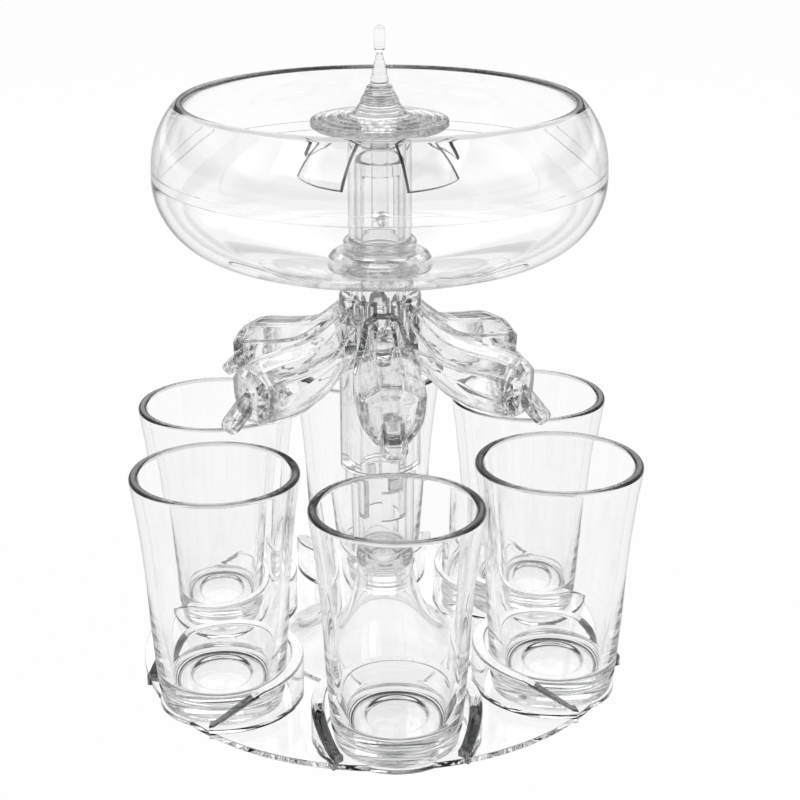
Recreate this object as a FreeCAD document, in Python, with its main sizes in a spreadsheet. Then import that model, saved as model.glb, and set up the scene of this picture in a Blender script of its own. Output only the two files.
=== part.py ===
import FreeCAD, Part
import math
import os
import Sketcher

# Party shot dispenser, millimetres, +Z up. The origin is the middle of the underside of the
# stand's plate. One cup, one spout and one cradle face -Y, and the rest follow every 60 degrees.

COUNT = 6                    # cups, cradles and spouts
QUARTER_SAG = 1 - math.sqrt(0.5)     # how far a quarter circle of radius 1 stands off its chord
STEP = 360.0 / COUNT
FRONT = -90.0                # the way the first cup faces

doc = FreeCAD.newDocument("shot_dispenser")

# ---------------------------------------------------------------------------------------------
# Driving dimensions
# ---------------------------------------------------------------------------------------------

SIZES = [
    # the cups
    ("cup_rim_radius", 24.4), ("cup_height", 71.3), ("cup_rim_wall", 2.7),
    ("cup_foot_radius", 18.7), ("cup_foot_taper", 0.9), ("cup_base_wall", 2.6),
    ("cup_floor", 7.2), ("cup_floor_radius", 12.2), ("cup_corner", 3.2),
    ("cup_punt_radius", 9.6), ("cup_punt_depth", 1.0),
    ("cup_waist_height", 26.0), ("cup_waist_radius", 20.3),
    ("cup_groove_height", 5.0), ("cup_groove_depth", 0.6),
    ("cup_hollow_radius", 15.0), ("cup_hollow_depth", 1.2),
    ("cup_gap", 8.4),        # between the rims of neighbouring cups
    # the tray
    ("plate_margin", 16.6), ("plate_thick", 1.8), ("plate_edge", 0.5),
    ("seat_depth", 0.5), ("seat_play", 0.35), ("lobe_margin", 0.6),
    ("cradle_play", 1.9), ("cradle_wall", 3.7), ("cradle_mouth", 50.0),
    ("cradle_tip_height", 3.6), ("cradle_side_height", 12.6),
    ("cradle_back_height", 15.2), ("cradle_bend", 1.5),
    ("bell_height", 31.2), ("bell_top_step", 0.3), ("bell_bend", 5.0),
    ("bell_inner_bend", 4.5), ("bell_toe", 3.6), ("bell_groove_width", 0.9),
    ("bell_groove_drop", 3.4), ("socket_floor", 1.0), ("socket_wall", 1.85),
    ("socket_play", 0.05),
    # the column
    ("column_radius", 10.7), ("column_wall", 2.3), ("column_collar_lip", 0.4),
    ("column_collar_height", 2.2), ("column_collar_round", 1.4),
    ("neck_step", 3.3), ("neck_length", 7.6),
    ("bore_floor", 5.2), ("bore_dish_radius", 4.4), ("bore_dish_depth", 3.3),
    ("lug_width", 3.8), ("lug_height", 3.7), ("lug_reach", 1.9), ("lug_drop", 3.5),
    ("lug_turn", 26.5), ("turn_gap", 0.35),
    # the hub and its bayonet
    ("pour_gap", 9.8),       # from the cups' rims up to the nozzles' tips
    ("skirt_reach", 20.4), ("nozzle_drop", 16.4),
    ("hub_overhang", 1.4), ("hub_floor", 3.0), ("flow_gap", 1.5), ("cavity_height", 17.8),
    ("hub_collar_ledge", 1.4), ("hub_collar_height", 4.3), ("hub_neck_wall", 1.6),
    ("hub_neck_rise", 7.0),
    ("port_width", 6.8), ("port_height", 8.4), ("port_sill", 0.6),
    ("spigot_wall", 2.0), ("spigot_reach", 15.5), ("slot_play", 0.7),
    ("slot_travel", 53.0), ("slot_turn", 43.0),
    # the spouts
    ("spout_half_width", 9.9), ("spout_height", 19.2), ("spout_crown", 3.8),
    ("spout_wall", 2.2), ("spout_end_wall", 2.8), ("spout_inset", 11.8), ("keel_rise", 1.8),
    ("nozzle_half_width", 3.7), ("nozzle_half_height", 1.9), ("nozzle_wall", 0.9),
    ("nozzle_length", 11.5), ("nozzle_tilt", 45.0), ("nozzle_inset", 4.3),
    ("nozzle_rise", 1.5), ("nozzle_round", 3.0),
    # the bowl
    ("bowl_radius", 65.0), ("bowl_rim_radius", 57.8), ("bowl_wall", 2.4),
    ("bowl_floor_radius", 46.0), ("bowl_floor_rise", 8.4), ("bowl_belly_rise", 21.4),
    ("bowl_upper_rise", 21.6), ("bowl_lower_bend", 5.3), ("bowl_upper_bend", 1.8),
    ("seam_height", 3.3), ("seam_lap", 2.8),
    ("gasket_thick", 0.9), ("gasket_width", 2.6),
    ("clamp_width", 5.1), ("clamp_height", 2.9), ("bore_play", 0.2),
    # the valve
    ("guide_radius", 7.1), ("guide_wall", 1.5), ("guide_height", 55.2), ("guide_sink", 1.0),
    ("window_drop", 2.6), ("window_head", 1.8), ("window_play", 0.5), ("valve_travel", 8.0),
    ("slide_gap", 0.35), ("sleeve_wall", 1.75), ("sleeve_height", 27.6), ("sleeve_web", 1.0),
    ("seal_lip", 1.6), ("seal_height", 2.7), ("seat_gap", 0.3),
    ("petal_radius", 24.4), ("petal_drop", 6.9), ("petal_thick", 0.8), ("petal_arc", 47.0),
    ("petal_bend", 2.6), ("petal_turn", 37.1), ("petal_top_step", 0.2),
    ("boss_radius", 5.6), ("boss_height", 2.4),
    # the knob
    ("rod_radius", 2.4), ("rod_play", 0.4), ("rod_reach", 30.0),
    ("pin_radius", 1.2), ("pin_play", 0.55), ("pin_rise", 4.6), ("knob_swing", 25.0),
    ("clip_width", 1.9), ("clip_thick", 1.0), ("clip_gap", 0.4),
    ("flange_height", 3.2), ("flange_top_radius", 10.4), ("flange_waist_radius", 5.4),
    ("flange_lip", 0.5), ("flange_drop", 1.6), ("flange_bend", 0.7),
    ("disc_radius", 19.8), ("disc_edge", 1.5), ("disc_bevel", 1.2), ("disc_rise", 2.2),
    ("cone_radius", 7.7), ("cone_height", 7.2), ("cone_top_radius", 3.8), ("cone_bend", 0.6),
    ("neck_foot_radius", 2.8), ("neck_height", 9.6), ("neck_tip_radius", 0.7),
    ("neck_bend", 0.4), ("drop_radius", 1.6), ("drop_height", 7.4), ("drop_bend", 0.4),
]

sheet = doc.addObject("Spreadsheet::Sheet", "dims")
for row, (alias, value) in enumerate(SIZES, start=1):
    sheet.set("A%d" % row, alias)
    sheet.set("B%d" % row, str(value))
    sheet.setAlias("B%d" % row, alias)
doc.recompute()


class Dim:
    """A length or an angle that carries both its value and its formula in the sheet."""

    def __init__(self, value, text):
        self.value = float(value)
        self.text = text

    @staticmethod
    def of(other):
        return other if isinstance(other, Dim) else Dim(other, "(%.9g)" % other)

    def join(self, other, sign, value):
        return Dim(value, "(%s %s %s)" % (self.text, sign, Dim.of(other).text))

    def __add__(self, other):
        return self.join(other, "+", self.value + Dim.of(other).value)

    def __sub__(self, other):
        return self.join(other, "-", self.value - Dim.of(other).value)

    def __mul__(self, other):
        return self.join(other, "*", self.value * Dim.of(other).value)

    def __truediv__(self, other):
        return self.join(other, "/", self.value / Dim.of(other).value)

    def __neg__(self):
        return Dim(-self.value, "(0 - %s)" % self.text)

    def __radd__(self, other):
        return Dim.of(other) + self

    def __rsub__(self, other):
        return Dim.of(other) - self

    def __rmul__(self, other):
        return Dim.of(other) * self


def call(name, function, dim):
    return Dim(function(dim.value), "%s(%s)" % (name, dim.text))


def sine(angle):
    return call("sin", lambda a: math.sin(math.radians(a)), Dim.of(angle))


def cosine(angle):
    return call("cos", lambda a: math.cos(math.radians(a)), Dim.of(angle))


class Sizes:
    """The sheet's cells by name."""

    def __getattr__(self, alias):
        return Dim(sheet.get(alias), "dims." + alias)


size = Sizes()
zero = Dim(0.0, "0")

# ---------------------------------------------------------------------------------------------
# Helpers
# ---------------------------------------------------------------------------------------------

PLANES = {"top": "XY_Plane", "front": "XZ_Plane", "side": "YZ_Plane"}
parts = []


def bind(item, name, dim):
    """Tie a property to the sheet."""
    if isinstance(dim, Dim):
        item.setExpression(name, dim.text)
    else:
        setattr(item, name, dim)


def new_body(label):
    body = doc.addObject("PartDesign::Body", label)
    body.Label = label
    parts.append(body)
    return body


def place(body, x=zero, y=zero, z=zero, turn=None):
    """Set a sub-part in the dispenser: its foot, then its turn about +Z in degrees."""
    for axis, dim in (("x", x), ("y", y), ("z", z)):
        body.setExpression("Placement.Base." + axis, dim.text)
    if turn is not None:
        body.setExpression("Placement.Rotation.Angle", turn.text)


def new_sketch(body, name, plane, level=None):
    """A sketch on one of the body's own planes, raised along the plane's normal."""
    sketch = body.newObject("Sketcher::SketchObject", body.Label + "_" + name)
    origin = [p for p in body.Origin.OriginFeatures if p.Role == PLANES[plane]][0]
    sketch.AttachmentSupport = [(origin, "")]
    sketch.MapMode = "FlatFace"
    if level is not None:
        sketch.setExpression("AttachmentOffset.Base.z", level.text)
    return sketch


def tilt_sketch(sketch, lean_axis, tilt, offsets):
    """Lean a sketch about one of its own axes, at a place given in its plane's own axes."""
    sketch.AttachmentOffset = FreeCAD.Placement(
        FreeCAD.Vector(), FreeCAD.Rotation(FreeCAD.Vector(*lean_axis), tilt.value))
    sketch.setExpression("AttachmentOffset.Rotation.Angle", tilt.text)
    for axis, dim in offsets:
        sketch.setExpression("AttachmentOffset.Base." + axis, dim.text)


def pin_point(sketch, geometry, end, x, y):
    """Fix one end of a line or an arc by its distances from the sketch's origin."""
    for kind, dim in (("DistanceX", x), ("DistanceY", y)):
        index = sketch.addConstraint(
            Sketcher.Constraint(kind, -1, 1, geometry, end, dim.value))
        sketch.setExpression("Constraints[%d]" % index, dim.text)


def outline(sketch, corners):
    """Close an outline through its corners. A corner is (x, y), or (x, y, bend) where the side
    that ends there is an arc that stands off its chord by bend, to the right of the way."""
    corners = [tuple(Dim.of(c) for c in corner) for corner in corners]
    ends = []
    for index, corner in enumerate(corners):
        before = corners[index - 1]
        start = FreeCAD.Vector(before[0].value, before[1].value, 0)
        stop = FreeCAD.Vector(corner[0].value, corner[1].value, 0)
        if len(corner) == 2:
            geometry = sketch.addGeometry(Part.LineSegment(start, stop), False)
            ends.append((geometry, 1, 2))
            continue
        bend = corner[2]
        span_x = corner[0] - before[0]
        span_y = corner[1] - before[1]
        chord2 = span_x * span_x + span_y * span_y
        sag = bend if bend.value > 0 else -bend
        radius = (chord2 / 4 + sag * sag) / (2 * sag)
        way = (stop - start).normalize()
        right = FreeCAD.Vector(way.y, -way.x, 0) * (1 if bend.value > 0 else -1)
        centre = (start + stop) * 0.5 + right * (sag.value - radius.value)
        circle = Part.Circle(centre, FreeCAD.Vector(0, 0, 1), radius.value)
        angles = [math.atan2(p.y - centre.y, p.x - centre.x) for p in (start, stop)]
        forward = bend.value > 0
        first, last = angles if forward else angles[::-1]
        geometry = sketch.addGeometry(Part.ArcOfCircle(circle, first, last), False)
        ends.append((geometry, 1, 2) if forward else (geometry, 2, 1))
        index_radius = sketch.addConstraint(
            Sketcher.Constraint("Radius", geometry, radius.value))
        sketch.setExpression("Constraints[%d]" % index_radius, radius.text)
    for index, corner in enumerate(corners):
        geometry, _, last = ends[index]
        follower, first, _ = ends[(index + 1) % len(ends)]
        pin_point(sketch, geometry, last, corner[0], corner[1])
        sketch.addConstraint(Sketcher.Constraint("Coincident", geometry, last, follower, first))


def circle(sketch, x, y, radius):
    """A circle by its centre and radius."""
    x, y, radius = Dim.of(x), Dim.of(y), Dim.of(radius)
    centre = FreeCAD.Vector(x.value, y.value, 0)
    shape = Part.Circle(centre, FreeCAD.Vector(0, 0, 1), radius.value)
    geometry = sketch.addGeometry(shape, False)
    index = sketch.addConstraint(Sketcher.Constraint("Radius", geometry, radius.value))
    sketch.setExpression("Constraints[%d]" % index, radius.text)
    pin_point(sketch, geometry, 3, x, y)


def turned(body, name, corners, angle=360.0, cut=False, face=None):
    """Turn an outline in the front plane about the body's own +Z. A part turn is centred on +X,
    or on the angle that it should face."""
    sketch = new_sketch(body, name, "front")
    if face is not None:
        tilt_sketch(sketch, (0, 1, 0), face, ())
    outline(sketch, corners)
    kind = "PartDesign::Groove" if cut else "PartDesign::Revolution"
    feature = body.newObject(kind, body.Label + "_" + name + "_turn")
    feature.Profile = sketch
    feature.ReferenceAxis = (sketch, ["V_Axis"])
    bind(feature, "Angle", angle)
    feature.Midplane = isinstance(angle, Dim)
    sketch.Visibility = False
    return feature


def pushed(body, name, sketch, length, cut=False, both=False, back=False):
    """Pad or pocket a sketch along its normal, or both ways at once."""
    kind = "PartDesign::Pocket" if cut else "PartDesign::Pad"
    feature = body.newObject(kind, body.Label + "_" + name)
    feature.Profile = sketch
    bind(feature, "Length", length)
    feature.Midplane = both
    feature.Reversed = back
    sketch.Visibility = False
    return feature


def around(body, name, features, count):
    """Repeat features about the body's +Z."""
    pattern = body.newObject("PartDesign::PolarPattern", body.Label + "_" + name)
    pattern.Originals = features
    z_axis = [a for a in body.Origin.OriginFeatures if a.Role == "Z_Axis"][0]
    pattern.Axis = (z_axis, [""])
    pattern.Angle = 360
    pattern.Occurrences = count
    body.Tip = pattern
    return pattern


def ring(body, inner, outer, low, high):
    """A plain ring: the whole of a washer, gasket or seal."""
    return turned(body, "section", [(inner, low), (outer, low), (outer, high), (inner, high)])


# ---------------------------------------------------------------------------------------------
# Sizes and levels that several pieces share
# ---------------------------------------------------------------------------------------------

# Round the six cups stand at the corners of a hexagon, whose side is as long as its radius.
cup_pitch = 2 * size.cup_rim_radius + size.cup_gap
seat_level = size.plate_thick - size.seat_depth
plate_radius = cup_pitch + size.plate_margin
cup_foot = size.cup_foot_radius - size.cup_foot_taper
cradle_inner = size.cup_foot_radius + size.cradle_play
cradle_outer = cradle_inner + size.cradle_wall

# The column's collar rests on the bell, and its neck stands in the socket.
collar_level = size.bell_height
socket_level = collar_level - size.neck_length - size.socket_play

# The head hangs its nozzles a set distance over the rims of the cups.
tip_level = seat_level + size.cup_height + size.pour_gap
cavity_level = tip_level + size.nozzle_drop
skirt_level = tip_level - size.skirt_reach
column_top = skirt_level - size.turn_gap
column_bore = size.column_radius - size.column_wall
column_collar = size.column_radius + size.column_collar_lip
neck_radius = size.column_radius - size.neck_step
spigot_radius = column_bore - size.turn_gap
spigot_bore = spigot_radius - size.spigot_wall
spigot_level = skirt_level - size.spigot_reach
lug_level = column_top - size.lug_drop

# The bowl sits on the hub's collar, with a gasket under it and a clamp ring over it.
hub_radius = size.column_radius + size.hub_overhang
cavity_radius = size.guide_radius + size.flow_gap
shoulder_level = cavity_level + size.cavity_height
hub_collar_top = shoulder_level + size.hub_collar_height
bowl_level = hub_collar_top + size.gasket_thick
bowl_inside = bowl_level + size.bowl_wall
hub_neck_radius = cavity_radius + size.hub_neck_wall
hub_top = hub_collar_top + size.hub_neck_rise
belly_level = bowl_level + size.bowl_floor_rise + size.bowl_belly_rise
seam_level = belly_level + size.seam_height
rim_level = belly_level + size.bowl_upper_rise

# The valve's sleeve slides on the guide post and ends in a seal that lies on the hub's neck.
sleeve_bore = size.guide_radius + size.slide_gap
sleeve_radius = sleeve_bore + size.sleeve_wall
seal_level = hub_top + size.seat_gap
sleeve_level = seal_level + size.seal_height
sleeve_top = sleeve_level + size.sleeve_height
guide_top = cavity_level + size.guide_height
window_top = guide_top - size.window_drop
pin_level = window_top - size.window_head - size.pin_radius - size.valve_travel
pin_reach = sleeve_bore - size.pin_play
window_level = pin_level - size.pin_rise
knob_level = sleeve_top + size.boss_height + size.seat_gap
disc_level = knob_level + size.flange_height

# ---------------------------------------------------------------------------------------------
# The stand: tray and column
# ---------------------------------------------------------------------------------------------


def make_base_tray():
    """A clear plate with six U-shaped cup cradles round a hollow bell that holds the column."""
    body = new_body("base_tray")
    bell_foot = cup_pitch - cradle_outer
    socket_radius = neck_radius + size.socket_play
    socket_outer = socket_radius + size.socket_wall
    groove_level = collar_level - size.bell_groove_drop
    turned(body, "plate", [
        (socket_radius, collar_level),
        (socket_radius, socket_level),
        (0, socket_level),
        (0, socket_level - size.socket_floor),
        (socket_outer, socket_level - size.socket_floor),
        (socket_outer, groove_level),
        (socket_outer + size.bell_groove_width, groove_level),
        (bell_foot - size.bell_toe, 0, size.bell_inner_bend),
        (plate_radius - size.plate_edge, 0),
        (plate_radius, size.plate_edge),
        (plate_radius, size.plate_thick - size.plate_edge),
        (plate_radius - size.plate_edge, size.plate_thick),
        (bell_foot, size.plate_thick),
        (column_collar - size.bell_top_step, collar_level, -size.bell_bend),
    ])

    lobe = new_sketch(body, "lobe", "top")
    circle(lobe, cup_pitch, 0, cup_foot + size.lobe_margin)
    lobe_pad = pushed(body, "lobe_pad", lobe, seat_level)
    around(body, "lobes", [lobe_pad], COUNT)

    cradle = new_sketch(body, "cradle", "top")
    tip = size.cradle_mouth
    mouth = tip + 4
    tip_x = cup_pitch + cradle_inner * cosine(tip)
    tip_y = cradle_inner * sine(tip)
    heel_x = cup_pitch + cradle_outer * cosine(mouth)
    heel_y = cradle_outer * sine(mouth)
    inner_bend = cradle_inner * (1 + cosine(tip))
    outer_bend = cradle_outer * (1 + cosine(mouth))
    outline(cradle, [
        (heel_x, heel_y),
        (heel_x, -heel_y, outer_bend),
        (tip_x, -tip_y),
        (tip_x, tip_y, -inner_bend),
    ])
    cradle_pad = pushed(body, "cradle_pad", cradle, size.cradle_back_height + 1)

    slope = new_sketch(body, "slope", "front")
    reach = cradle_outer + 0.5
    outline(slope, [
        (cup_pitch - reach, size.cradle_back_height),
        (cup_pitch, size.cradle_side_height),
        (tip_x + 0.5, size.cradle_tip_height, -size.cradle_bend),
        (cup_pitch + reach, size.cradle_tip_height),
        (cup_pitch + reach, size.cradle_back_height + 2),
        (cup_pitch - reach, size.cradle_back_height + 2),
    ])
    slope_cut = pushed(body, "slope_cut", slope, 2 * cradle_outer + 1, cut=True, both=True)
    around(body, "cradles", [cradle_pad, slope_cut], COUNT)

    seat = new_sketch(body, "seat", "top", size.plate_thick)
    circle(seat, cup_pitch, 0, cup_foot + size.seat_play)
    seat_cut = pushed(body, "seat_cut", seat, size.seat_depth, cut=True)
    around(body, "seats", [seat_cut], COUNT)
    place(body, turn=Dim.of(FRONT))


def make_base_column():
    """The lower tube, with a collar and a neck for the bell and two bayonet lugs in its bore."""
    body = new_body("base_column")
    collar_top = collar_level + size.column_collar_height
    neck_level = collar_level - size.neck_length
    rounding = size.column_collar_round
    bore_level = collar_level + size.bore_floor
    dish_level = bore_level - size.bore_dish_depth
    turned(body, "tube", [
        (0, neck_level),
        (neck_radius, neck_level),
        (neck_radius, collar_level),
        (column_collar - rounding, collar_level),
        (column_collar, collar_level + rounding, rounding * QUARTER_SAG),
        (column_collar, collar_top),
        (size.column_radius, collar_top + 1.2),
        (size.column_radius, column_top),
        (column_bore, column_top),
        (column_bore, bore_level),
        (size.bore_dish_radius, dish_level),
        (0, dish_level),
    ])
    lug = new_sketch(body, "lug", "side", column_bore - size.lug_reach)
    half = size.lug_width / 2
    tall = size.lug_height / 2
    outline(lug, [(-half, lug_level - tall), (half, lug_level - tall),
                  (half, lug_level + tall), (-half, lug_level + tall)])
    lug_pad = pushed(body, "lug_pad", lug, size.lug_reach + 1.5)
    around(body, "lugs", [lug_pad], 2)
    place(body, turn=Dim.of(FRONT) + size.lug_turn)


# ---------------------------------------------------------------------------------------------
# The cups
# ---------------------------------------------------------------------------------------------


def make_cup(number):
    """A thick-bottomed shot cup with a flared rim, in its own cradle."""
    body = new_body("cup_%d" % number)
    base = size.cup_base_wall
    groove = size.cup_groove_height
    deep = size.cup_foot_radius - size.cup_groove_depth
    turned(body, "wall", [
        (0, size.cup_hollow_depth),
        (size.cup_hollow_radius - 1, size.cup_hollow_depth),
        (size.cup_hollow_radius, 0),
        (cup_foot - 0.5, 0),
        (cup_foot, 0.5),
        (size.cup_foot_radius, groove),
        (deep, groove + 0.4),
        (deep, groove + 1.4),
        (size.cup_foot_radius + 0.3, groove + 2.4, 0.2),
        (size.cup_waist_radius, size.cup_waist_height),
        (size.cup_rim_radius, size.cup_height - 0.6, -0.7),
        (size.cup_rim_radius - 0.6, size.cup_height),
        (size.cup_rim_radius - size.cup_rim_wall + 0.6, size.cup_height),
        (size.cup_rim_radius - size.cup_rim_wall, size.cup_height - 0.6),
        (size.cup_waist_radius - base, size.cup_waist_height, 0.7),
        (size.cup_floor_radius + size.cup_corner, size.cup_floor + size.cup_corner),
        (size.cup_floor_radius, size.cup_floor, -size.cup_corner * QUARTER_SAG),
        (size.cup_punt_radius, size.cup_floor),
        (size.cup_punt_radius - 1, size.cup_floor - size.cup_punt_depth),
        (0, size.cup_floor - size.cup_punt_depth),
    ])
    angle = Dim.of(FRONT + STEP * (number - 1))
    place(body, cup_pitch * cosine(angle), cup_pitch * sine(angle), seat_level, angle)


# ---------------------------------------------------------------------------------------------
# The head: hub, bayonet spigot, spouts, bowl and guide post
# ---------------------------------------------------------------------------------------------


def make_hub():
    """The middle of the head: a skirt over the column, a cup with six ports, and a neck."""
    body = new_body("hub")
    floor = -size.hub_floor
    skirt = skirt_level - cavity_level
    shoulder = size.cavity_height
    seat = shoulder + size.hub_collar_height
    collar = hub_neck_radius + size.hub_collar_ledge
    turned(body, "shell", [
        (spigot_radius, skirt),
        (hub_radius, skirt),
        (hub_radius, shoulder - 1),
        (collar, shoulder, 0.1),
        (collar, seat),
        (hub_neck_radius, seat),
        (hub_neck_radius, seat + size.hub_neck_rise),
        (cavity_radius, seat + size.hub_neck_rise),
        (cavity_radius, 0),
        (size.guide_radius, 0),
        (size.guide_radius, -size.guide_sink),
        (0, -size.guide_sink),
        (0, floor),
        (spigot_radius, floor),
    ])
    port = new_sketch(body, "port", "side")
    half = size.port_width / 2
    outline(port, [(-half, size.port_sill), (half, size.port_sill),
                   (half, size.port_sill + size.port_height),
                   (-half, size.port_sill + size.port_height)])
    port_cut = pushed(body, "port_cut", port, hub_radius + 1, cut=True, back=True)
    around(body, "ports", [port_cut], COUNT)
    place(body, z=cavity_level, turn=Dim.of(FRONT))


def make_bayonet_spigot():
    """The inner tube of the head, whose two L-shaped slots turn on the column's lugs."""
    body = new_body("bayonet_spigot")
    ring(body, spigot_bore, spigot_radius, spigot_level, cavity_level - size.hub_floor)
    low = lug_level - size.lug_height / 2 - size.slot_play
    high = lug_level + size.lug_height / 2 + size.slot_play
    inside = spigot_bore - 1
    outside = spigot_radius + 1
    run_cut = turned(body, "run", [(inside, low), (outside, low), (outside, high),
                                   (inside, high)],
                     angle=size.slot_travel + size.slot_turn, cut=True)
    entry_cut = turned(body, "entry", [(inside, spigot_level - 1), (outside, spigot_level - 1),
                                       (outside, high), (inside, high)],
                       angle=size.slot_turn, cut=True, face=-size.slot_travel / 2)
    around(body, "slots", [run_cut, entry_cut], 2)
    place(body, turn=Dim.of(FRONT))


# A spout is shaped like a lily's petal. Its sections, from the root out, give the share of its
# length, then shares of its half width, of its height over the keel for the crown and for the
# floor, and of the crown's bulge.
PETAL = [
    (-0.05, 0.57, 1.59, 0.56, 0.45),
    (0.13, 0.73, 1.33, 0.45, 0.6),
    (0.30, 0.92, 1.12, 0.26, 0.9),
    (0.55, 1.00, 1.02, 0.06, 1.0),
    (0.78, 1.00, 0.975, 0.00, 1.0),
    (0.93, 0.93, 0.88, 0.01, 0.9),
    (1.00, 0.70, 0.67, 0.10, 0.6),
]
SIDE_BULGE = 0.225           # of the section's half width
FLAT_SHARE = 0.5             # the share of the half width where the side meets the underside
SHOULDER_SHARE = 0.09        # how far up the side they meet
END_BULGE = 0.85             # of the nozzle's half height


def petal_section(sketch, half, crown, keel, bend):
    """A petal cut across: a crowned top, bulging sides and a round underside."""
    edge = crown - bend
    rounding = (edge - keel) * SHOULDER_SHARE
    bulge = half * SIDE_BULGE
    foot = half * FLAT_SHARE
    outline(sketch, [
        (half, edge, -bend),
        (foot, keel + rounding, -bulge),
        (-foot, keel + rounding, -rounding),
        (-half, edge, -bulge),
    ])


def petal_loft(body, name, kind, stations, length, wall):
    """A loft through sections of the petal, drawn in by a wall."""
    sketches = []
    for index, (share, wide, crown, keel, bend) in enumerate(stations):
        level = hub_radius + length * share
        sketch = new_sketch(body, "%s_%d" % (name, index), "side", level)
        petal_section(
            sketch, size.spout_half_width * wide - wall,
            size.keel_rise + size.spout_height * crown - wall,
            size.keel_rise + size.spout_height * keel + wall, size.spout_crown * bend)
        sketches.append(sketch)
    loft = body.newObject(kind, body.Label + "_" + name)
    loft.Profile = sketches[0]
    loft.Sections = sketches[1:]


def oval(sketch, half_width, half_height):
    """A round-ended slot shape, wide along the sketch's second axis."""
    sag = half_height * END_BULGE
    straight = half_width - sag
    outline(sketch, [
        (-half_height, -straight),
        (half_height, -straight, sag),
        (half_height, straight),
        (-half_height, straight, sag),
    ])


def make_spout(number):
    """One hollow petal: drink enters at its root and leaves by the nozzle over the cup."""
    body = new_body("spout_%d" % number)
    length = cup_pitch - size.spout_inset - hub_radius
    inner_length = (length - size.spout_end_wall) / PETAL[-2][0]
    petal_loft(body, "shell", "PartDesign::AdditiveLoft", PETAL, length, zero)
    mouth = [(-0.12,) + PETAL[0][1:]] + PETAL[1:-1]
    petal_loft(body, "hollow", "PartDesign::SubtractiveLoft", mouth, inner_length,
               size.spout_wall)

    root_cut = new_sketch(body, "root", "top", size.nozzle_drop)
    circle(root_cut, 0, 0, hub_radius)
    pushed(body, "root_cut", root_cut, size.spout_height * 4, cut=True, both=True)

    tilt = size.nozzle_tilt
    tip_x = cup_pitch - size.nozzle_inset
    tip_z = size.nozzle_rise
    nozzle = new_sketch(body, "nozzle", "top")
    tilt_sketch(nozzle, (0, -1, 0), tilt, (("x", tip_x), ("z", tip_z)))
    oval(nozzle, size.nozzle_half_width, size.nozzle_half_height)
    pushed(body, "nozzle_pad", nozzle, size.nozzle_length)
    bore = new_sketch(body, "bore", "top")
    tilt_sketch(bore, (0, -1, 0), tilt, (("x", tip_x), ("z", tip_z)))
    oval(bore, size.nozzle_half_width - size.nozzle_wall,
         size.nozzle_half_height - size.nozzle_wall)
    pushed(body, "bore_cut", bore, size.nozzle_length + 3, cut=True, back=True)

    lip = new_sketch(body, "lip", "side")
    tilt_sketch(lip, (-1, 0, 0), tilt, (("y", tip_z), ("z", tip_x)))
    half = size.nozzle_half_width
    outline(lip, [
        (-half - 1, -1),
        (half + 1, -1),
        (half + 1, size.nozzle_round),
        (half, size.nozzle_round),
        (-half, size.nozzle_round, -size.nozzle_round),
        (-half - 1, size.nozzle_round),
    ])
    pushed(body, "lip_cut", lip, 4 * size.nozzle_half_height, cut=True, both=True)
    place(body, z=tip_level, turn=Dim.of(FRONT + STEP * (number - 1)))


def bowl_inner_arc_bend(bend):
    return bend - size.bowl_wall * 0.22


def make_bowl_lower():
    """The lower half of the bowl: a funnel floor, a round belly and the outer half of the lap."""
    body = new_body("bowl_lower")
    wall = size.bowl_wall
    hole = hub_neck_radius + size.bore_play
    low = size.bowl_floor_rise
    belly = low + size.bowl_belly_rise
    seam = belly + size.seam_height
    lap = seam - size.seam_lap
    turned(body, "shell", [
        (hole, 0),
        (hole + 4.5, 0),
        (size.bowl_floor_radius, low),
        (size.bowl_radius, belly, size.bowl_lower_bend),
        (size.bowl_radius - 0.12, seam),
        (size.bowl_radius - wall / 2, seam),
        (size.bowl_radius - wall / 2, lap),
        (size.bowl_radius - wall, lap),
        (size.bowl_floor_radius - 0.4, low + wall, -bowl_inner_arc_bend(size.bowl_lower_bend)),
        (hole + 4.5, wall),
        (hole, wall),
    ])
    place(body, z=bowl_level)


def make_bowl_upper():
    """The upper half of the bowl, which closes in to the rim and laps inside the lower half."""
    body = new_body("bowl_upper")
    wall = size.bowl_wall
    rim = size.bowl_upper_rise - size.seam_height
    lap = -size.seam_lap
    turned(body, "shell", [
        (size.bowl_radius - wall / 2, lap),
        (size.bowl_radius - wall / 2, 0),
        (size.bowl_radius - 0.12, 0),
        (size.bowl_rim_radius, rim - 0.7, size.bowl_upper_bend),
        (size.bowl_rim_radius - 0.9, rim),
        (size.bowl_rim_radius - wall + 0.4, rim),
        (size.bowl_rim_radius - wall - 0.3, rim - 0.8),
        (size.bowl_radius - wall, lap, -size.bowl_upper_bend),
    ])
    place(body, z=seam_level)


def make_bowl_gasket():
    body = new_body("bowl_gasket")
    ring(body, hub_neck_radius, hub_neck_radius + size.gasket_width, zero, size.gasket_thick)
    place(body, z=hub_collar_top)


def make_clamp_ring():
    """The ring that holds the bowl down on the hub, with a chamfered rim."""
    body = new_body("clamp_ring")
    top = size.clamp_height
    outer = hub_neck_radius + size.clamp_width
    turned(body, "section", [
        (hub_neck_radius, 0),
        (outer - 0.8, 0),
        (outer, 0.6),
        (outer - 1.0, top - 0.8),
        (outer - 2.4, top),
        (hub_neck_radius, top),
    ])
    place(body, z=bowl_inside)


def make_guide_post():
    """The post the valve slides on, with a window on each side for the knob's pin."""
    body = new_body("guide_post")
    ring(body, size.guide_radius - size.guide_wall, size.guide_radius, -size.guide_sink,
         size.guide_height)
    window = new_sketch(body, "window", "front")
    half = pin_reach * sine(size.knob_swing) + size.pin_radius + size.window_play
    low = window_level - cavity_level
    high = window_top - cavity_level
    outline(window, [(-half, low), (half, low), (half, high), (-half, high)])
    pushed(body, "window_cut", window, 2 * size.guide_radius + 2, cut=True, both=True)
    place(body, z=cavity_level)


# ---------------------------------------------------------------------------------------------
# The valve: seal, sleeve and petals
# ---------------------------------------------------------------------------------------------


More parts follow.
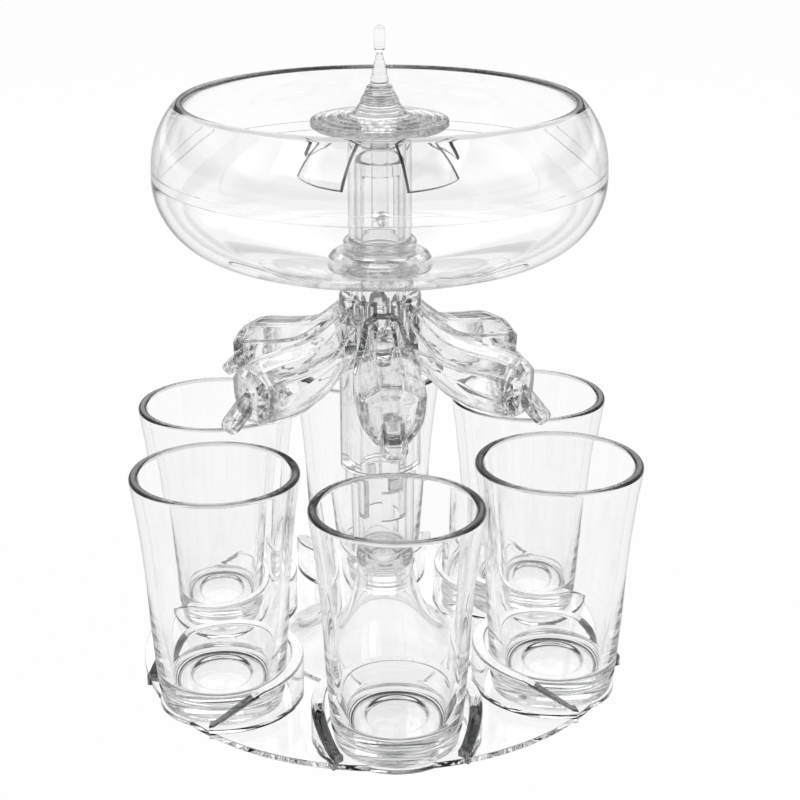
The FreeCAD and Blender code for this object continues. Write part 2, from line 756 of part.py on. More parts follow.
def make_valve_seal():
    body = new_body("valve_seal")
    ring(body, sleeve_bore, sleeve_radius + size.seal_lip, zero, size.seal_height)
    place(body, z=seal_level)


def make_valve_sleeve():
    """The tube that shuts the bowl's outlet, closed at its top by a web with the rod's hole."""
    body = new_body("valve_sleeve")
    hole = size.rod_radius + size.rod_play
    high = size.sleeve_height
    web = high - size.sleeve_web
    turned(body, "wall", [
        (sleeve_bore, 0),
        (sleeve_radius, 0),
        (sleeve_radius, high),
        (hole, high),
        (hole, web),
        (sleeve_bore, web),
    ])
    place(body, z=sleeve_level)


def make_petal_guard():
    """Four thin petals that arch out from a boss and shed the poured drink over the valve."""
    body = new_body("petal_guard")
    hole = size.rod_radius + size.rod_play
    thick = size.petal_thick
    root = size.boss_radius - thick / 2
    ring(body, hole, sleeve_radius - size.petal_top_step, zero, thick)
    turned(body, "boss", [
        (hole, 0),
        (size.boss_radius, 0),
        (size.boss_radius, size.boss_height),
        (hole, size.boss_height),
    ])
    petal = turned(body, "petal", [
        (root, size.boss_height - thick),
        (size.petal_radius - thick / 2, -size.petal_drop, -size.petal_bend),
        (size.petal_radius + thick / 4, thick * 0.7 - size.petal_drop),
        (root, size.boss_height, size.petal_bend + 0.1),
    ], angle=size.petal_arc)
    around(body, "petals", [petal], 4)
    place(body, z=sleeve_top, turn=size.petal_turn)


# ---------------------------------------------------------------------------------------------
# The knob: flange, disc with its splash drop, rod, pin and clip
# ---------------------------------------------------------------------------------------------


def make_knob():
    """A rippled disc that rises into a cone, a thin neck and a falling drop."""
    body = new_body("knob")
    edge_low = size.disc_bevel
    edge_top = edge_low + size.disc_edge
    foot = edge_top + size.disc_rise
    crater = foot + size.cone_height
    tip = crater + size.neck_height
    drop = tip + size.drop_height
    turned(body, "section", [
        (0, 0),
        (size.disc_radius - 2.4, 0),
        (size.disc_radius, edge_low, 0.3),
        (size.disc_radius, edge_top),
        (size.disc_radius - 0.8, edge_top + 0.4),
        (size.cone_radius, foot, -0.2),
        (size.cone_top_radius, crater, -size.cone_bend),
        (size.neck_foot_radius, crater + 0.3),
        (size.neck_tip_radius, tip, -size.neck_bend),
        (size.drop_radius, tip + size.drop_radius * 1.4, size.drop_bend),
        (size.drop_radius, drop - size.drop_radius),
        (0, drop, size.drop_radius * (1 - math.sqrt(0.5))),
    ])
    place(body, z=disc_level)


def make_knob_flange():
    """The flange that spreads from its waist, on the petals' boss, to the disc."""
    body = new_body("knob_flange")
    high = size.flange_height
    lip = high - size.flange_drop
    turned(body, "section", [
        (size.rod_radius, 0),
        (size.flange_waist_radius, 0),
        (size.flange_waist_radius, size.flange_lip),
        (size.flange_top_radius, lip, -size.flange_bend),
        (size.flange_top_radius, lip + size.flange_lip),
        (size.flange_top_radius - 2.8, high),
        (size.rod_radius, high),
    ])
    place(body, z=knob_level)


def make_knob_rod():
    """The rod that hangs from the disc down the middle of the valve."""
    body = new_body("knob_rod")
    sketch = new_sketch(body, "round", "top", -size.rod_reach)
    circle(sketch, 0, 0, size.rod_radius)
    pushed(body, "round_pad", sketch, size.rod_reach)
    eye = new_sketch(body, "eye", "front")
    circle(eye, 0, pin_level - disc_level, size.pin_radius)
    pushed(body, "eye_cut", eye, 4 * size.rod_radius, cut=True, both=True)
    place(body, z=disc_level)


def make_lock_pin():
    """The cross pin, whose ends run in the guide post's windows."""
    body = new_body("lock_pin")
    sketch = new_sketch(body, "round", "front")
    circle(sketch, 0, 0, size.pin_radius)
    pushed(body, "round_pad", sketch, 2 * pin_reach, both=True)
    place(body, z=pin_level)


def make_rod_clip():
    """The clip under the sleeve's web, by which the rod lifts the sleeve."""
    body = new_body("rod_clip")
    ring(body, size.rod_radius, size.rod_radius + size.clip_width, zero, size.clip_thick)
    place(body, z=sleeve_top - size.sleeve_web - size.clip_gap - size.clip_thick)


make_base_tray()
make_base_column()
for cup_number in range(1, COUNT + 1):
    make_cup(cup_number)
make_hub()
make_bayonet_spigot()
for spout_number in range(1, COUNT + 1):
    make_spout(spout_number)
make_bowl_lower()
make_bowl_upper()
make_bowl_gasket()
make_clamp_ring()
make_guide_post()
make_valve_seal()
make_valve_sleeve()
make_petal_guard()
make_knob()
make_knob_flange()
make_knob_rod()
make_lock_pin()
make_rod_clip()

doc.recompute()

# ---------------------------------------------------------------------------------------------
# Checks, then the files
# ---------------------------------------------------------------------------------------------

for item in doc.Objects:
    if "Invalid" in item.State or "Error" in item.State:
        raise SystemExit("%s failed: %s" % (item.Label, item.State))
for body in parts:
    if body.Shape.isNull() or not body.Shape.isValid() or not body.Shape.Solids:
        raise SystemExit("%s has no sound solid" % body.Label)

os.makedirs("parts", exist_ok=True)
for body in parts:
    body.Shape.exportStep("parts/%s.step" % body.Label)
    box = body.Shape.BoundBox
    print("%-16s %8.0f mm3  solids %d  z %.2f to %.2f  x %.2f to %.2f" % (
        body.Label, body.Shape.Volume, len(body.Shape.Solids), box.ZMin, box.ZMax, box.XMin,
        box.XMax))
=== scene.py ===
# %% [markdown]
# # A party shot dispenser in clear acrylic
# The real thing is a table fountain for six shots. A round bowl stands on a six-armed head, a knob
# in the middle of the bowl lifts a valve, and the drink runs down six petal-shaped spouts into six
# cups. Everything is moulded in clear acrylic, so this lesson is mostly about glassy shapes: true
# wall thicknesses, rounded rims and smooth curves, because a clear part shows both of its sides.
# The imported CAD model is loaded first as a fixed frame, and each visible piece is built round it.

import math

import bpy
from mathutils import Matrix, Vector


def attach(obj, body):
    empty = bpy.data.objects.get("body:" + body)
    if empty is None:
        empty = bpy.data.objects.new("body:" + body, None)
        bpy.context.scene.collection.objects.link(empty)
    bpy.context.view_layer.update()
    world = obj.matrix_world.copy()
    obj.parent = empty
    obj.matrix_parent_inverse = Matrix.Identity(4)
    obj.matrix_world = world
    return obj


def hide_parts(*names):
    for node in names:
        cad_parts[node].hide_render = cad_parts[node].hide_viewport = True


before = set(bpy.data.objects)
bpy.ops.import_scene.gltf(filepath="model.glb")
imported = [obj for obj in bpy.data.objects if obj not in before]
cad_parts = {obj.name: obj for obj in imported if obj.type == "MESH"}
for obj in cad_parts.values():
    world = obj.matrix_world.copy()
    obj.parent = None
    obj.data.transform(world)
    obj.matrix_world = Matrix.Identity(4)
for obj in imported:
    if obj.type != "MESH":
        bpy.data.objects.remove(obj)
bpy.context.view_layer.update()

# %% [markdown]
# ## Working in millimetres
# Blender measures in metres and the drawings of this object are in millimetres, so every size is
# written in millimetres and multiplied by MM once, where it reaches Blender. The levels below are
# heights over the table, and each one is shared by two or more pieces.

# %% Sizes that several pieces share
MM = 0.001
COUNT = 6                    # cups, cradles and spouts
STEP = 360 / COUNT
FRONT = -90                  # degrees; the first cup stands towards -Y

CUP_CIRCLE = 57.2            # from the middle of the tray to the middle of a cup
SEAT = 1.3                   # where the cups stand
BELL_TOP = 31.2
COLUMN_TOP = 61.65
NOZZLES = 82.4               # the nozzles' tips
CHAMBER = 98.8               # the floor of the hub's chamber
BOWL = 121.8                 # the underside of the bowl
SEAM = 154.9                 # where the bowl's two halves meet
HUB_RADIUS = 12.1
VALVE = 158.5                # the top of the valve's sleeve
DISC = 164.4                 # the underside of the knob's disc
HAIR = 0.04                  # left between clear faces that touch on the real thing

# %% [markdown]
# ## Drawing an outline
# Most of these pieces are round, so each is one outline turned about an axis, as on a lathe. An
# outline could be traced with a Bezier curve, but a list of corners is easier to check against a
# drawing. A corner is (radius, height), and may add a bend, which makes the side that ends there
# an arc, and a fillet, which rounds the corner off. Moulded acrylic has no knife edges, and the
# fillets are what catch the light.

# %% Corners to points
ARC_STEP = math.radians(5)
FILLET_STEPS = 5


def arc(start, stop, bend):
    """Points along an arc that stands off its chord by bend, to the right of the way."""
    chord = stop - start
    sag = abs(bend)
    side = 1 if bend > 0 else -1
    radius = (chord.length_squared / 4 + sag * sag) / (2 * sag)
    right = Vector((chord.y, -chord.x)).normalized() * side
    centre = (start + stop) / 2 + right * (sag - radius)
    sweep = 2 * math.asin(min(1, chord.length / 2 / radius))
    count = max(4, math.ceil(sweep / ARC_STEP))
    points = []
    for i in range(1, count + 1):
        turn = side * sweep * i / count
        spoke = start - centre
        points.append(centre + Vector((spoke.x * math.cos(turn) - spoke.y * math.sin(turn),
                                       spoke.x * math.sin(turn) + spoke.y * math.cos(turn))))
    return points


def trace(corners, closed):
    """The points of an outline, with its arcs and its fillets."""
    points = []
    for i, corner in enumerate(corners):
        x, y, bend, fillet = (tuple(corner) + (0, 0))[:4]
        here = Vector((x, y))
        if bend and (i or closed):
            before = Vector(corners[i - 1][:2])
            points += [(p, 0) for p in arc(before, here, bend)[:-1]]
        points.append((here, fillet))
    rounded = []
    for i, (here, fillet) in enumerate(points):
        if not fillet:
            rounded.append(here)
            continue
        before, after = points[i - 1][0], points[(i + 1) % len(points)][0]
        reach = min([fillet] + [0.48 * (p - here).length for p in (before, after)])
        a = here + (before - here).normalized() * reach
        b = here + (after - here).normalized() * reach
        for k in range(FILLET_STEPS + 1):
            t = k / FILLET_STEPS
            rounded.append(a * (1 - t) ** 2 + here * 2 * t * (1 - t) + b * t * t)
    return rounded


# %% [markdown]
# ## Turning an outline into a solid
# By hand this is three moves in edit mode: put down one vertex, extrude it from point to point,
# and spin the line about the axis. A Screw modifier would do the same, but the spin operator keeps
# the poles clean once the doubles are merged. The normals are made to point outwards at the end,
# because a spin can leave them inside out.

# %% The lathe
def choose(*pieces):
    bpy.ops.object.select_all(action="DESELECT")
    for piece in pieces:
        piece.select_set(True)
    bpy.context.view_layer.objects.active = pieces[0]


def first_point(name, place):
    """One vertex in edit mode: a tiny plane merged to its middle and moved to its place."""
    bpy.ops.object.select_all(action="DESELECT")
    bpy.ops.mesh.primitive_plane_add(size=MM)
    piece = bpy.context.object
    piece.name = piece.data.name = name
    bpy.ops.object.mode_set(mode="EDIT")
    bpy.ops.mesh.merge(type="CENTER")
    bpy.ops.transform.translate(value=Vector(place) * MM)
    return piece


def draw_on(places):
    """Extrude the chosen vertex through places, in mm."""
    for here, there in zip(places, places[1:]):
        step = (Vector(there) - Vector(here)) * MM
        bpy.ops.mesh.extrude_vertices_move(TRANSFORM_OT_translate={"value": step})


def seal(piece):
    """Merge doubles, turn the faces outwards and leave edit mode."""
    bpy.ops.mesh.select_all(action="SELECT")
    bpy.ops.mesh.remove_doubles(threshold=0.004 * MM)
    bpy.ops.mesh.normals_make_consistent(inside=False)
    bpy.ops.object.mode_set(mode="OBJECT")
    return piece


def spin(steps, degrees, copies=False):
    """Spin the whole mesh about Z, anticlockwise from above. The operator itself turns clockwise,
    so its angle is negative."""
    bpy.ops.mesh.select_all(action="SELECT")
    bpy.ops.mesh.spin(steps=steps, dupli=copies, angle=-math.radians(degrees),
                      center=(0, 0, 0), axis=(0, 0, 1))


def lathe(name, corners, turns=128, closed=True):
    """Turn an outline in the XZ plane about Z. An outline that starts and ends on the axis is
    left open there, because its ends meet as poles."""
    points = [(p.x, 0, p.y) for p in trace(corners, closed)]
    piece = first_point(name, points[0])
    draw_on(points + points[:1] if closed else points)
    spin(turns, 360)
    return seal(piece)


def sector(name, corners, steps, degrees, start):
    """Turn a closed outline through a part of a turn, from a start angle."""
    points = [(p.x, 0, p.y) for p in trace(corners, True)]
    piece = first_point(name, points[0])
    draw_on(points + points[:1])
    bpy.ops.mesh.select_all(action="SELECT")
    bpy.ops.mesh.remove_doubles(threshold=0.004 * MM)
    bpy.ops.mesh.edge_face_add()
    spin(steps, degrees)
    return place(seal(piece), turn=start)


# %% [markdown]
# ## Placing, joining and smoothing
# A finished piece has its object at the origin and its place in its mesh, so a move is always
# applied. Where two clear shapes are one moulding, a Boolean modifier really joins them: two glass
# bodies that only overlap would show their inner walls. Smooth shading stops at sharp edges, and
# a Weighted Normal modifier keeps the flat faces flat beside their fillets.

# %% Helpers for whole pieces
def place(piece, x=0, y=0, z=0, tilt=0, turn=0):
    """Move a piece, in mm and degrees, and put its new place into its mesh."""
    choose(piece)
    piece.location = Vector((x, y, z)) * MM
    piece.rotation_euler = (0, math.radians(tilt), math.radians(turn))
    bpy.ops.object.transform_apply(location=True, rotation=True, scale=True)
    return piece


def copy_of(piece, name, turn=0):
    """A copy with its own mesh, turned about the dispenser's axis."""
    choose(piece)
    bpy.ops.object.duplicate()
    copy = bpy.context.object
    copy.name = copy.data.name = name
    return place(copy, turn=turn)


def apply(piece, kind, **settings):
    choose(piece)
    modifier = piece.modifiers.new(kind.lower(), kind)
    for key, value in settings.items():
        setattr(modifier, key, value)
    bpy.ops.object.modifier_apply(modifier=modifier.name)


def combine(piece, how, *tools):
    """Join tools to a piece, or cut them out of it, and use them up."""
    for tool in tools:
        apply(piece, "BOOLEAN", operation=how, solver="EXACT", object=tool)
        bpy.data.objects.remove(tool)
    return piece


def smooth(piece, angle=38):
    choose(piece)
    bpy.ops.object.shade_smooth_by_angle(angle=math.radians(angle))
    apply(piece, "WEIGHTED_NORMAL", keep_sharp=True)
    return piece


def paint_shade_and_joints(piece, rule):
    """Store each face's share of painted shade, dark lines where clear plastic shows dark
    reflections, from 0 to 1, or more for a dark glued joint, where specks mustn't break up the tint.
    The rule gets a face's middle in mm and its normal, and the finish reads the result as an
    attribute."""
    layer = piece.data.attributes.new("edge", "FLOAT", "FACE")
    layer.data.foreach_set("value", [float(rule(face.center / MM, face.normal))
                                     for face in piece.data.polygons])
    return piece


made = []


def hand_over(piece, node, body):
    """Say which CAD node a piece stands for and what it moves with."""
    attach(piece, body)
    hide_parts(node)
    made.append(piece)
    box = [max(v.co[i] for v in piece.data.vertices) - min(v.co[i] for v in piece.data.vertices)
           for i in range(3)]
    print("%-22s %6d faces, %s mm" % (
        piece.name, len(piece.data.polygons), " x ".join("%.1f" % (b / MM) for b in box)))


# %% [markdown]
# ## The cups
# A shot cup is a flared wall on a thick bottom. The bottom is where the light plays: it has a
# shallow hollow underneath, a groove round the outside just over the foot, and a dished floor. A
# solid of revolution with both of its sides drawn gives all of that, and one cup is copied to the
# six places.

# %% Cups
cup = lathe("cup_1_clear", [
    (0, 1.2), (14.0, 1.2, 0, 0.5), (15.0, 0, 0, 0.4), (17.3, 0, 0, 0.3), (17.8, 0.5, 0, 0.2),
    (18.7, 5.0, 0, 0.3), (18.1, 5.4, 0, 0.3), (18.1, 6.4, 0, 0.3), (19.0, 7.4, 0.2, 0.5),
    (20.3, 26.0), (24.4, 70.6, -0.7, 0.5), (23.9, 71.3, 0, 0.4), (22.3, 71.3, 0, 0.4),
    (21.7, 70.6, 0, 0.4), (17.7, 26.0, 0.7), (15.4, 10.4), (12.2, 7.2, -0.937),
    (9.6, 7.2, 0, 0.5), (8.6, 6.2, 0, 0.5), (0, 6.2),
], turns=112, closed=False)
smooth(cup)
# Painted shade: the top of each cup's rim is tinted dark.
paint_shade_and_joints(cup, lambda at, normal: 0.45 * (at.z > 70.7))
place(cup, CUP_CIRCLE, 0, SEAT)
cups = [cup] + [copy_of(cup, "cup_%d_clear" % (i + 1), STEP * i) for i in range(1, COUNT)]
for i, cup in enumerate(cups):
    place(cup, turn=FRONT)
    hand_over(cup, "cup_%d" % (i + 1), "cup_%d" % (i + 1))

# %% [markdown]
# ## The tray
# The tray is one moulding: a thin plate, a hollow bell in its middle that holds the column, six
# shallow seats and six U-shaped walls that keep the cups in place. The plate and the bell are one
# outline on the lathe. A wall is a narrow section spun about the cup's axis, and its top is then
# lowered towards the open front, column by column. The six walls and the six round pads under the
# cups are joined to the plate, and the seats are cut last.

# %% The plate and the bell
tray = lathe("base_tray_clear", [
    (0, 23.55), (7.45, 23.55, 0, 0.3), (7.45, 31.2, 0, 0.25), (10.8, 31.2, 0, 0.4),
    (32.9, 1.8, 5.0, 0.8), (73.8, 1.8, 0, 0.25), (73.8, 0, 0, 0.2), (29.3, 0, 0, 0.5),
    (10.2, 27.8, -4.5, 0.3), (9.3, 27.8),
    (9.3, 22.55, 0, 0.3), (0, 22.55),
], turns=192, closed=False)

# %% A cup's wall
WALL_INSIDE, WALL_OUTSIDE = 20.6, 24.3
MOUTH = 51                   # degrees from the front to each end of the wall
WALL_FOOT = 0.25             # inside the plate, so that the two join
WALL_COLUMNS = 72
TOP_AT = [(-24.8, 15.2), (0, 12.6), (4, 10.9), (8, 8.6), (11, 6.2), (13.3, 4.2), (16, 3.8)]


def wall_top(x):
    """The height of the wall's top at a distance in front of the cup's axis."""
    for (a, high), (b, low) in zip(TOP_AT, TOP_AT[1:]):
        if x <= b:
            return high + (low - high) * max(0, x - a) / (b - a)
    return TOP_AT[-1][1]


wall = sector("cradle", [
    (WALL_INSIDE, WALL_FOOT), (WALL_OUTSIDE, WALL_FOOT), (WALL_OUTSIDE, 10, 0, 0.8),
    (WALL_INSIDE, 10, 0, 0.8)], WALL_COLUMNS, 360 - 2 * MOUTH, MOUTH)
for vertex in wall.data.vertices:
    vertex.select = False
lifted = {}
for vertex in wall.data.vertices:
    if vertex.co.z > 5 * MM:
        angle = round(math.degrees(math.atan2(vertex.co.y, vertex.co.x)), 1)
        lifted.setdefault(angle, []).append(vertex.index)
for angle, group in lifted.items():
    middle = (WALL_INSIDE + WALL_OUTSIDE) / 2 * math.cos(math.radians(angle))
    choose(wall)
    bpy.ops.object.mode_set(mode="EDIT")
    bpy.ops.mesh.select_all(action="DESELECT")
    bpy.ops.object.mode_set(mode="OBJECT")
    for index in group:
        wall.data.vertices[index].select = True
    bpy.ops.object.mode_set(mode="EDIT")
    bpy.ops.transform.translate(value=(0, 0, (wall_top(middle) - 10) * MM))
    bpy.ops.object.mode_set(mode="OBJECT")
print("cradle wall columns", len(lifted))

# %% Six walls and six pads, joined to the plate
pad = lathe("pad", [(0, 0.02), (18.4, 0.02, 0, 0.1), (18.4, SEAT - 0.01, 0, 0.2),
                    (0, SEAT - 0.01)], closed=False)
choose(wall, pad)
bpy.ops.object.join()
place(wall, CUP_CIRCLE)


def ring_of_six(piece):
    """Repeat a shape at the six arms, inside its own mesh."""
    choose(piece)
    bpy.ops.object.mode_set(mode="EDIT")
    spin(COUNT - 1, 360 - STEP, copies=True)
    bpy.ops.object.mode_set(mode="OBJECT")
    return place(piece, turn=FRONT)


seats = lathe("seats", [(0, SEAT), (18.15, SEAT), (18.15, 5), (0, 5)], closed=False)
place(seats, CUP_CIRCLE)
combine(tray, "UNION", ring_of_six(wall))
combine(tray, "DIFFERENCE", ring_of_six(seats))
smooth(tray)


def tray_painted_shade(at, normal):
    """Painted shade: the sloping tops and the ends of the walls are tinted dark, as strokes on the
    tray.
    """
    if at.z > 2.2 and at.xy.length > 40 and abs(normal.z) < 0.98:
        arm = math.radians(round(math.degrees(math.atan2(at.y, at.x)) / STEP - 0.5) * STEP + 30)
        out, along = Vector((math.cos(arm), math.sin(arm))), Vector((-math.sin(arm), math.cos(arm)))
        front, side = at.xy.dot(out) - CUP_CIRCLE, abs(at.xy.dot(along))
        distance = math.hypot(front, side)
        if front > 2 and normal.z > 0.25:
            return 1.0
        if front > 10 and WALL_INSIDE + 0.3 < distance < WALL_OUTSIDE - 0.3:
            return 1.0
    return 0


paint_shade_and_joints(tray, tray_painted_shade)
hand_over(tray, "base_tray", "stand")

# %% [markdown]
# ## The column
# The column is a tube with a collar that rests on the bell, a neck in the bell's socket and two
# small lugs inside. The lugs hold the head: slots in the head's inner tube drop over them and
# turn, like the bayonet of a light bulb. The tube is one outline, and each lug is a small rounded
# bar that is joined to the wall of the bore.

# %% Column and lugs
column = lathe("base_column_clear", [
    (0, 23.6), (7.4, 23.6, 0, 0.3), (7.4, BELL_TOP + HAIR), (9.7, BELL_TOP + HAIR),
    (11.1, 32.6, 0.4), (11.1, 33.4, 0, 0.2), (10.7, 34.6, 0, 0.4), (10.7, COLUMN_TOP, 0, 0.35),
    (8.4, COLUMN_TOP, 0, 0.35), (8.4, 36.4, 0, 0.4), (4.4, 33.1, 0, 0.4), (0, 33.1),
], closed=False)


def bar(name, low, high):
    """A plain bar between two corners: a cutter or a lug."""
    low, high = Vector(low) * MM, Vector(high) * MM
    bpy.ops.object.select_all(action="DESELECT")
    bpy.ops.mesh.primitive_cube_add(size=1, location=(low + high) / 2)
    piece = bpy.context.object
    piece.name = piece.data.name = name
    piece.scale = high - low
    bpy.ops.object.transform_apply(location=True, rotation=True, scale=True)
    return piece


LUG = 58.15                  # the height of the lugs' middle
LUG_TURN = 26.5              # degrees from the front
for side in (-1, 1):
    low, high = sorted((6.5 * side, 9.2 * side))
    lug = bar("lug", (-1.9, low, LUG - 1.85), (1.9, high, LUG + 1.85))
    apply(lug, "BEVEL", width=0.4 * MM, segments=3)
    combine(column, "UNION", place(lug, turn=LUG_TURN))
smooth(column)
# Painted shade: the lugs and the sloping floor of the bore are tinted dark.
paint_shade_and_joints(column, lambda at, normal: 0.6 * (at.z > 40 and at.xy.length < 8.2)
          or 0.5 * (5.5 < at.xy.length < 8.2 and 32.5 < at.z < 37))
hand_over(column, "base_column", "stand")

# %% [markdown]
# ## The hub and its inner tube
# The hub is the middle of the head. Its skirt comes down round the column, and above that it is a
# small chamber with six ports, one into each spout. The ports are cut with bars, six at once. The
# inner tube hangs from the hub inside the column and has the two L-shaped bayonet slots.

# %% Hub
hub = lathe("hub_clear", [
    (0, -3.0), (8.05, -3.0), (8.05, -36.8, 0, 0.3), (12.1, -36.8, 0, 0.4), (12.1, 16.8, 0, 0.4),
    (11.6, 17.8), (11.6, 22.1, 0, 0.3), (10.2, 22.1), (10.2, 29.1, 0, 0.4), (8.6, 29.1, 0, 0.4),
    (8.6, 0, 0, 0.8), (7.1 + HAIR, 0, 0, 0.2), (7.1 + HAIR, -1.0 - HAIR), (0, -1.0 - HAIR),
], closed=False)
place(hub, z=CHAMBER)
port = bar("ports", (5, -3.4, CHAMBER + 0.6), (14, 3.4, CHAMBER + 9.0))
apply(port, "BEVEL", width=1.2 * MM, segments=4)
combine(hub, "DIFFERENCE", ring_of_six(port))
smooth(hub)


def hub_painted_streaks(at, normal):
    """Painted shade: a few uneven dark streaks, placed by a formula of the angle, round the chamber
    where the spouts are glued on.
    """
    turn = math.atan2(at.y, at.x)
    return float(99 < at.z < 117 and at.xy.length > 11.5
                 and math.sin(13 * turn) * math.sin(7 * turn + 1) > 0.5)


paint_shade_and_joints(hub, hub_painted_streaks)
hand_over(hub, "hub", "head")

# %% Bayonet tube
spigot = lathe("bayonet_spigot_clear", [
    (6.05, 46.5, 0, 0.4), (8.05, 46.5, 0, 0.4), (8.05, 95.8 - HAIR, 0, 0.2),
    (6.05, 95.8 - HAIR, 0, 0.2),
])
for side in (FRONT, FRONT + 180):
    run = sector("run", [(5, 55.6), (9, 55.6), (9, 60.7), (5, 60.7)], 40, 96, side - 48)
    entry = sector("entry", [(5, 45), (9, 45), (9, 58), (5, 58)], 20, 43,
                   side - LUG_TURN - 21.5)
    combine(spigot, "DIFFERENCE", run, entry)
smooth(spigot)
# Painted shade: the walls of the bayonet slots are tinted dark.
paint_shade_and_joints(spigot, lambda at, normal: 0.3 * (
    at.z < 61 and 6.2 < at.xy.length < 7.9 and abs(normal.xy.dot(at.xy.normalized())) < 0.5))
hand_over(spigot, "bayonet_spigot", "head")

# %% [markdown]
# ## The spouts
# Each spout is a hollow petal: narrow and high at the hub, wide and low over the cup, with a flat
# panel along its crown, sloping shoulders and a narrow underside. It could be sculpted, but a loft
# stays true to its wall thickness: one section is drawn, then extruded from station to station and
# resized at each. The measures between the stations follow a smooth curve through the table. The
# same steps with a wall taken off make the hollow. The nozzle is a flat tongue that leans out over
# the cup: its tip is closed and round, and the drink leaves through a mouth beneath it.

# %% The petal's measures
SPOUT_ROOT = HUB_RADIUS
SPOUT_LENGTH = 33.3
PETAL = [
    # share of the length, half width, crown's height, keel's height over the nozzle's tip
    (-0.22, 5.2, 34.6, 14.2),
    (-0.05, 5.6, 32.3, 12.6),
    (0.13, 7.2, 27.3, 10.4),
    (0.30, 9.1, 23.3, 6.8),
    (0.55, 9.9, 21.4, 2.95),
    (0.78, 9.9, 20.5, 1.8),
    (0.93, 9.4, 19.3, 2.0),
    (1.00, 8.2, 17.3, 3.0),
]


def petal_at(share):
    """Half width, crown and keel at a share of the length, on a smooth curve."""
    i = 1
    while i < len(PETAL) - 2 and PETAL[i + 1][0] < share:
        i += 1
    rows = [PETAL[max(0, i - 1)], PETAL[i], PETAL[i + 1], PETAL[min(len(PETAL) - 1, i + 2)]]
    before, here, there, after = rows
    span = there[0] - here[0]
    t = min(1, max(0, (share - here[0]) / span))
    measures = []
    for k in (1, 2, 3):
        leave = (there[k] - before[k]) / (there[0] - before[0]) * span
        arrive = (after[k] - here[k]) / (after[0] - here[0]) * span
        measures.append((2 * t ** 3 - 3 * t * t + 1) * here[k] + (t ** 3 - 2 * t * t + t) * leave
                        + (3 * t * t - 2 * t ** 3) * there[k] + (t ** 3 - t * t) * arrive)
    return measures


# %% The loft
SECTION = [(9.9, 16.7, 0, 0.5), (9.4, 8.6, 0, 3.5), (4.95, 2.6, 0, 2.4),
           (-4.95, 2.6, -0.8, 2.4), (-9.4, 8.6, 0, 3.5), (-9.9, 16.7, 0, 0.5),
           (-4.2, 20.3, 0, 0.4), (4.2, 20.3, 0, 0.4)]
NOSE = ((0.4, 0.95), (0.75, 0.86), (0.95, 0.74), (1.0, 0.3))


def petal_solid(name, wall, length, first, last, nose):
    """A closed petal shape, smaller all round by a wall."""
    stations = 26
    half, crown, keel = petal_at(first)
    scale = ((half - wall) / 9.9, (crown - keel - 2 * wall) / 18.7)
    points = [(SPOUT_ROOT + length * first, p.x * scale[0], keel + wall + (p.y - 1.8) * scale[1])
              for p in trace(SECTION, True)]
    piece = first_point(name, points[0])
    draw_on(points + points[:1])
    bpy.ops.mesh.select_all(action="SELECT")
    bpy.ops.mesh.remove_doubles(threshold=0.004 * MM)
    x, base, width, height = points[0][0], keel + wall, half - wall, crown - keel - 2 * wall
    rings = []
    for i in range(1, stations + 1):
        share = first + (last - first) * i / stations
        half, crown, keel = petal_at(share)
        rings.append((SPOUT_ROOT + length * share, keel + wall, half - wall,
                      crown - keel - 2 * wall))
    end_x, end_base, end_width, end_height = rings[-1]
    for out, size in NOSE:
        rings.append((end_x + out * nose, end_base + end_height * (1 - size) / 2,
                      end_width * size, end_height * size))
    for new_x, new_base, new_width, new_height in rings:
        bpy.ops.mesh.extrude_region_move(TRANSFORM_OT_translate={
            "value": ((new_x - x) * MM, 0, (new_base - base) * MM)})
        bpy.ops.transform.resize(
            value=(1, new_width / width, new_height / height),
            center_override=(new_x * MM, 0, new_base * MM))
        x, base, width, height = new_x, new_base, new_width, new_height
    bpy.ops.mesh.merge(type="CENTER")
    bpy.ops.object.mode_set(mode="OBJECT")
    root = SPOUT_ROOT + length * first
    for vertex in piece.data.vertices:
        vertex.select = abs(vertex.co.x / MM - root) < 0.01
    bpy.ops.object.mode_set(mode="EDIT")
    bpy.ops.mesh.edge_face_add()
    return seal(piece)


spout = petal_solid("spout_1_clear", 0, SPOUT_LENGTH, -0.2, 1.0, 1.0)
hollow = petal_solid("hollow", 2.2, 32.8, -0.21, 0.9, 1.0)

# %% The nozzle
TILT = -45
TIP_X, TIP_Z = 52.9, 1.5
OVAL = [(-1.9, -2.09), (1.9, -2.09, 1.61), (1.9, 2.09), (-1.9, 2.09, 1.61)]


def tongue(name, scale_x, scale_y, rings, lower=0):
    """A flat round-ended bar along Z. A ring is (height, share of the thickness and width)."""
    points = [(p.x * scale_x, p.y * scale_y, rings[0][0]) for p in trace(OVAL, True)]
    piece = first_point(name, points[0])
    draw_on(points + points[:1])
    bpy.ops.mesh.select_all(action="SELECT")
    bpy.ops.mesh.remove_doubles(threshold=0.004 * MM)
    bpy.ops.mesh.edge_face_add()
    for (z, thick, wide), (new_z, new_thick, new_wide) in zip(rings, rings[1:]):
        bpy.ops.mesh.extrude_region_move(TRANSFORM_OT_translate={
            "value": (0, 0, (new_z - z) * MM)})
        bpy.ops.transform.resize(value=(new_thick / thick, new_wide / wide, 1),
                                 center_override=(0, 0, new_z * MM))
    place(seal(piece), -lower)
    return place(piece, TIP_X, 0, TIP_Z, tilt=TILT)


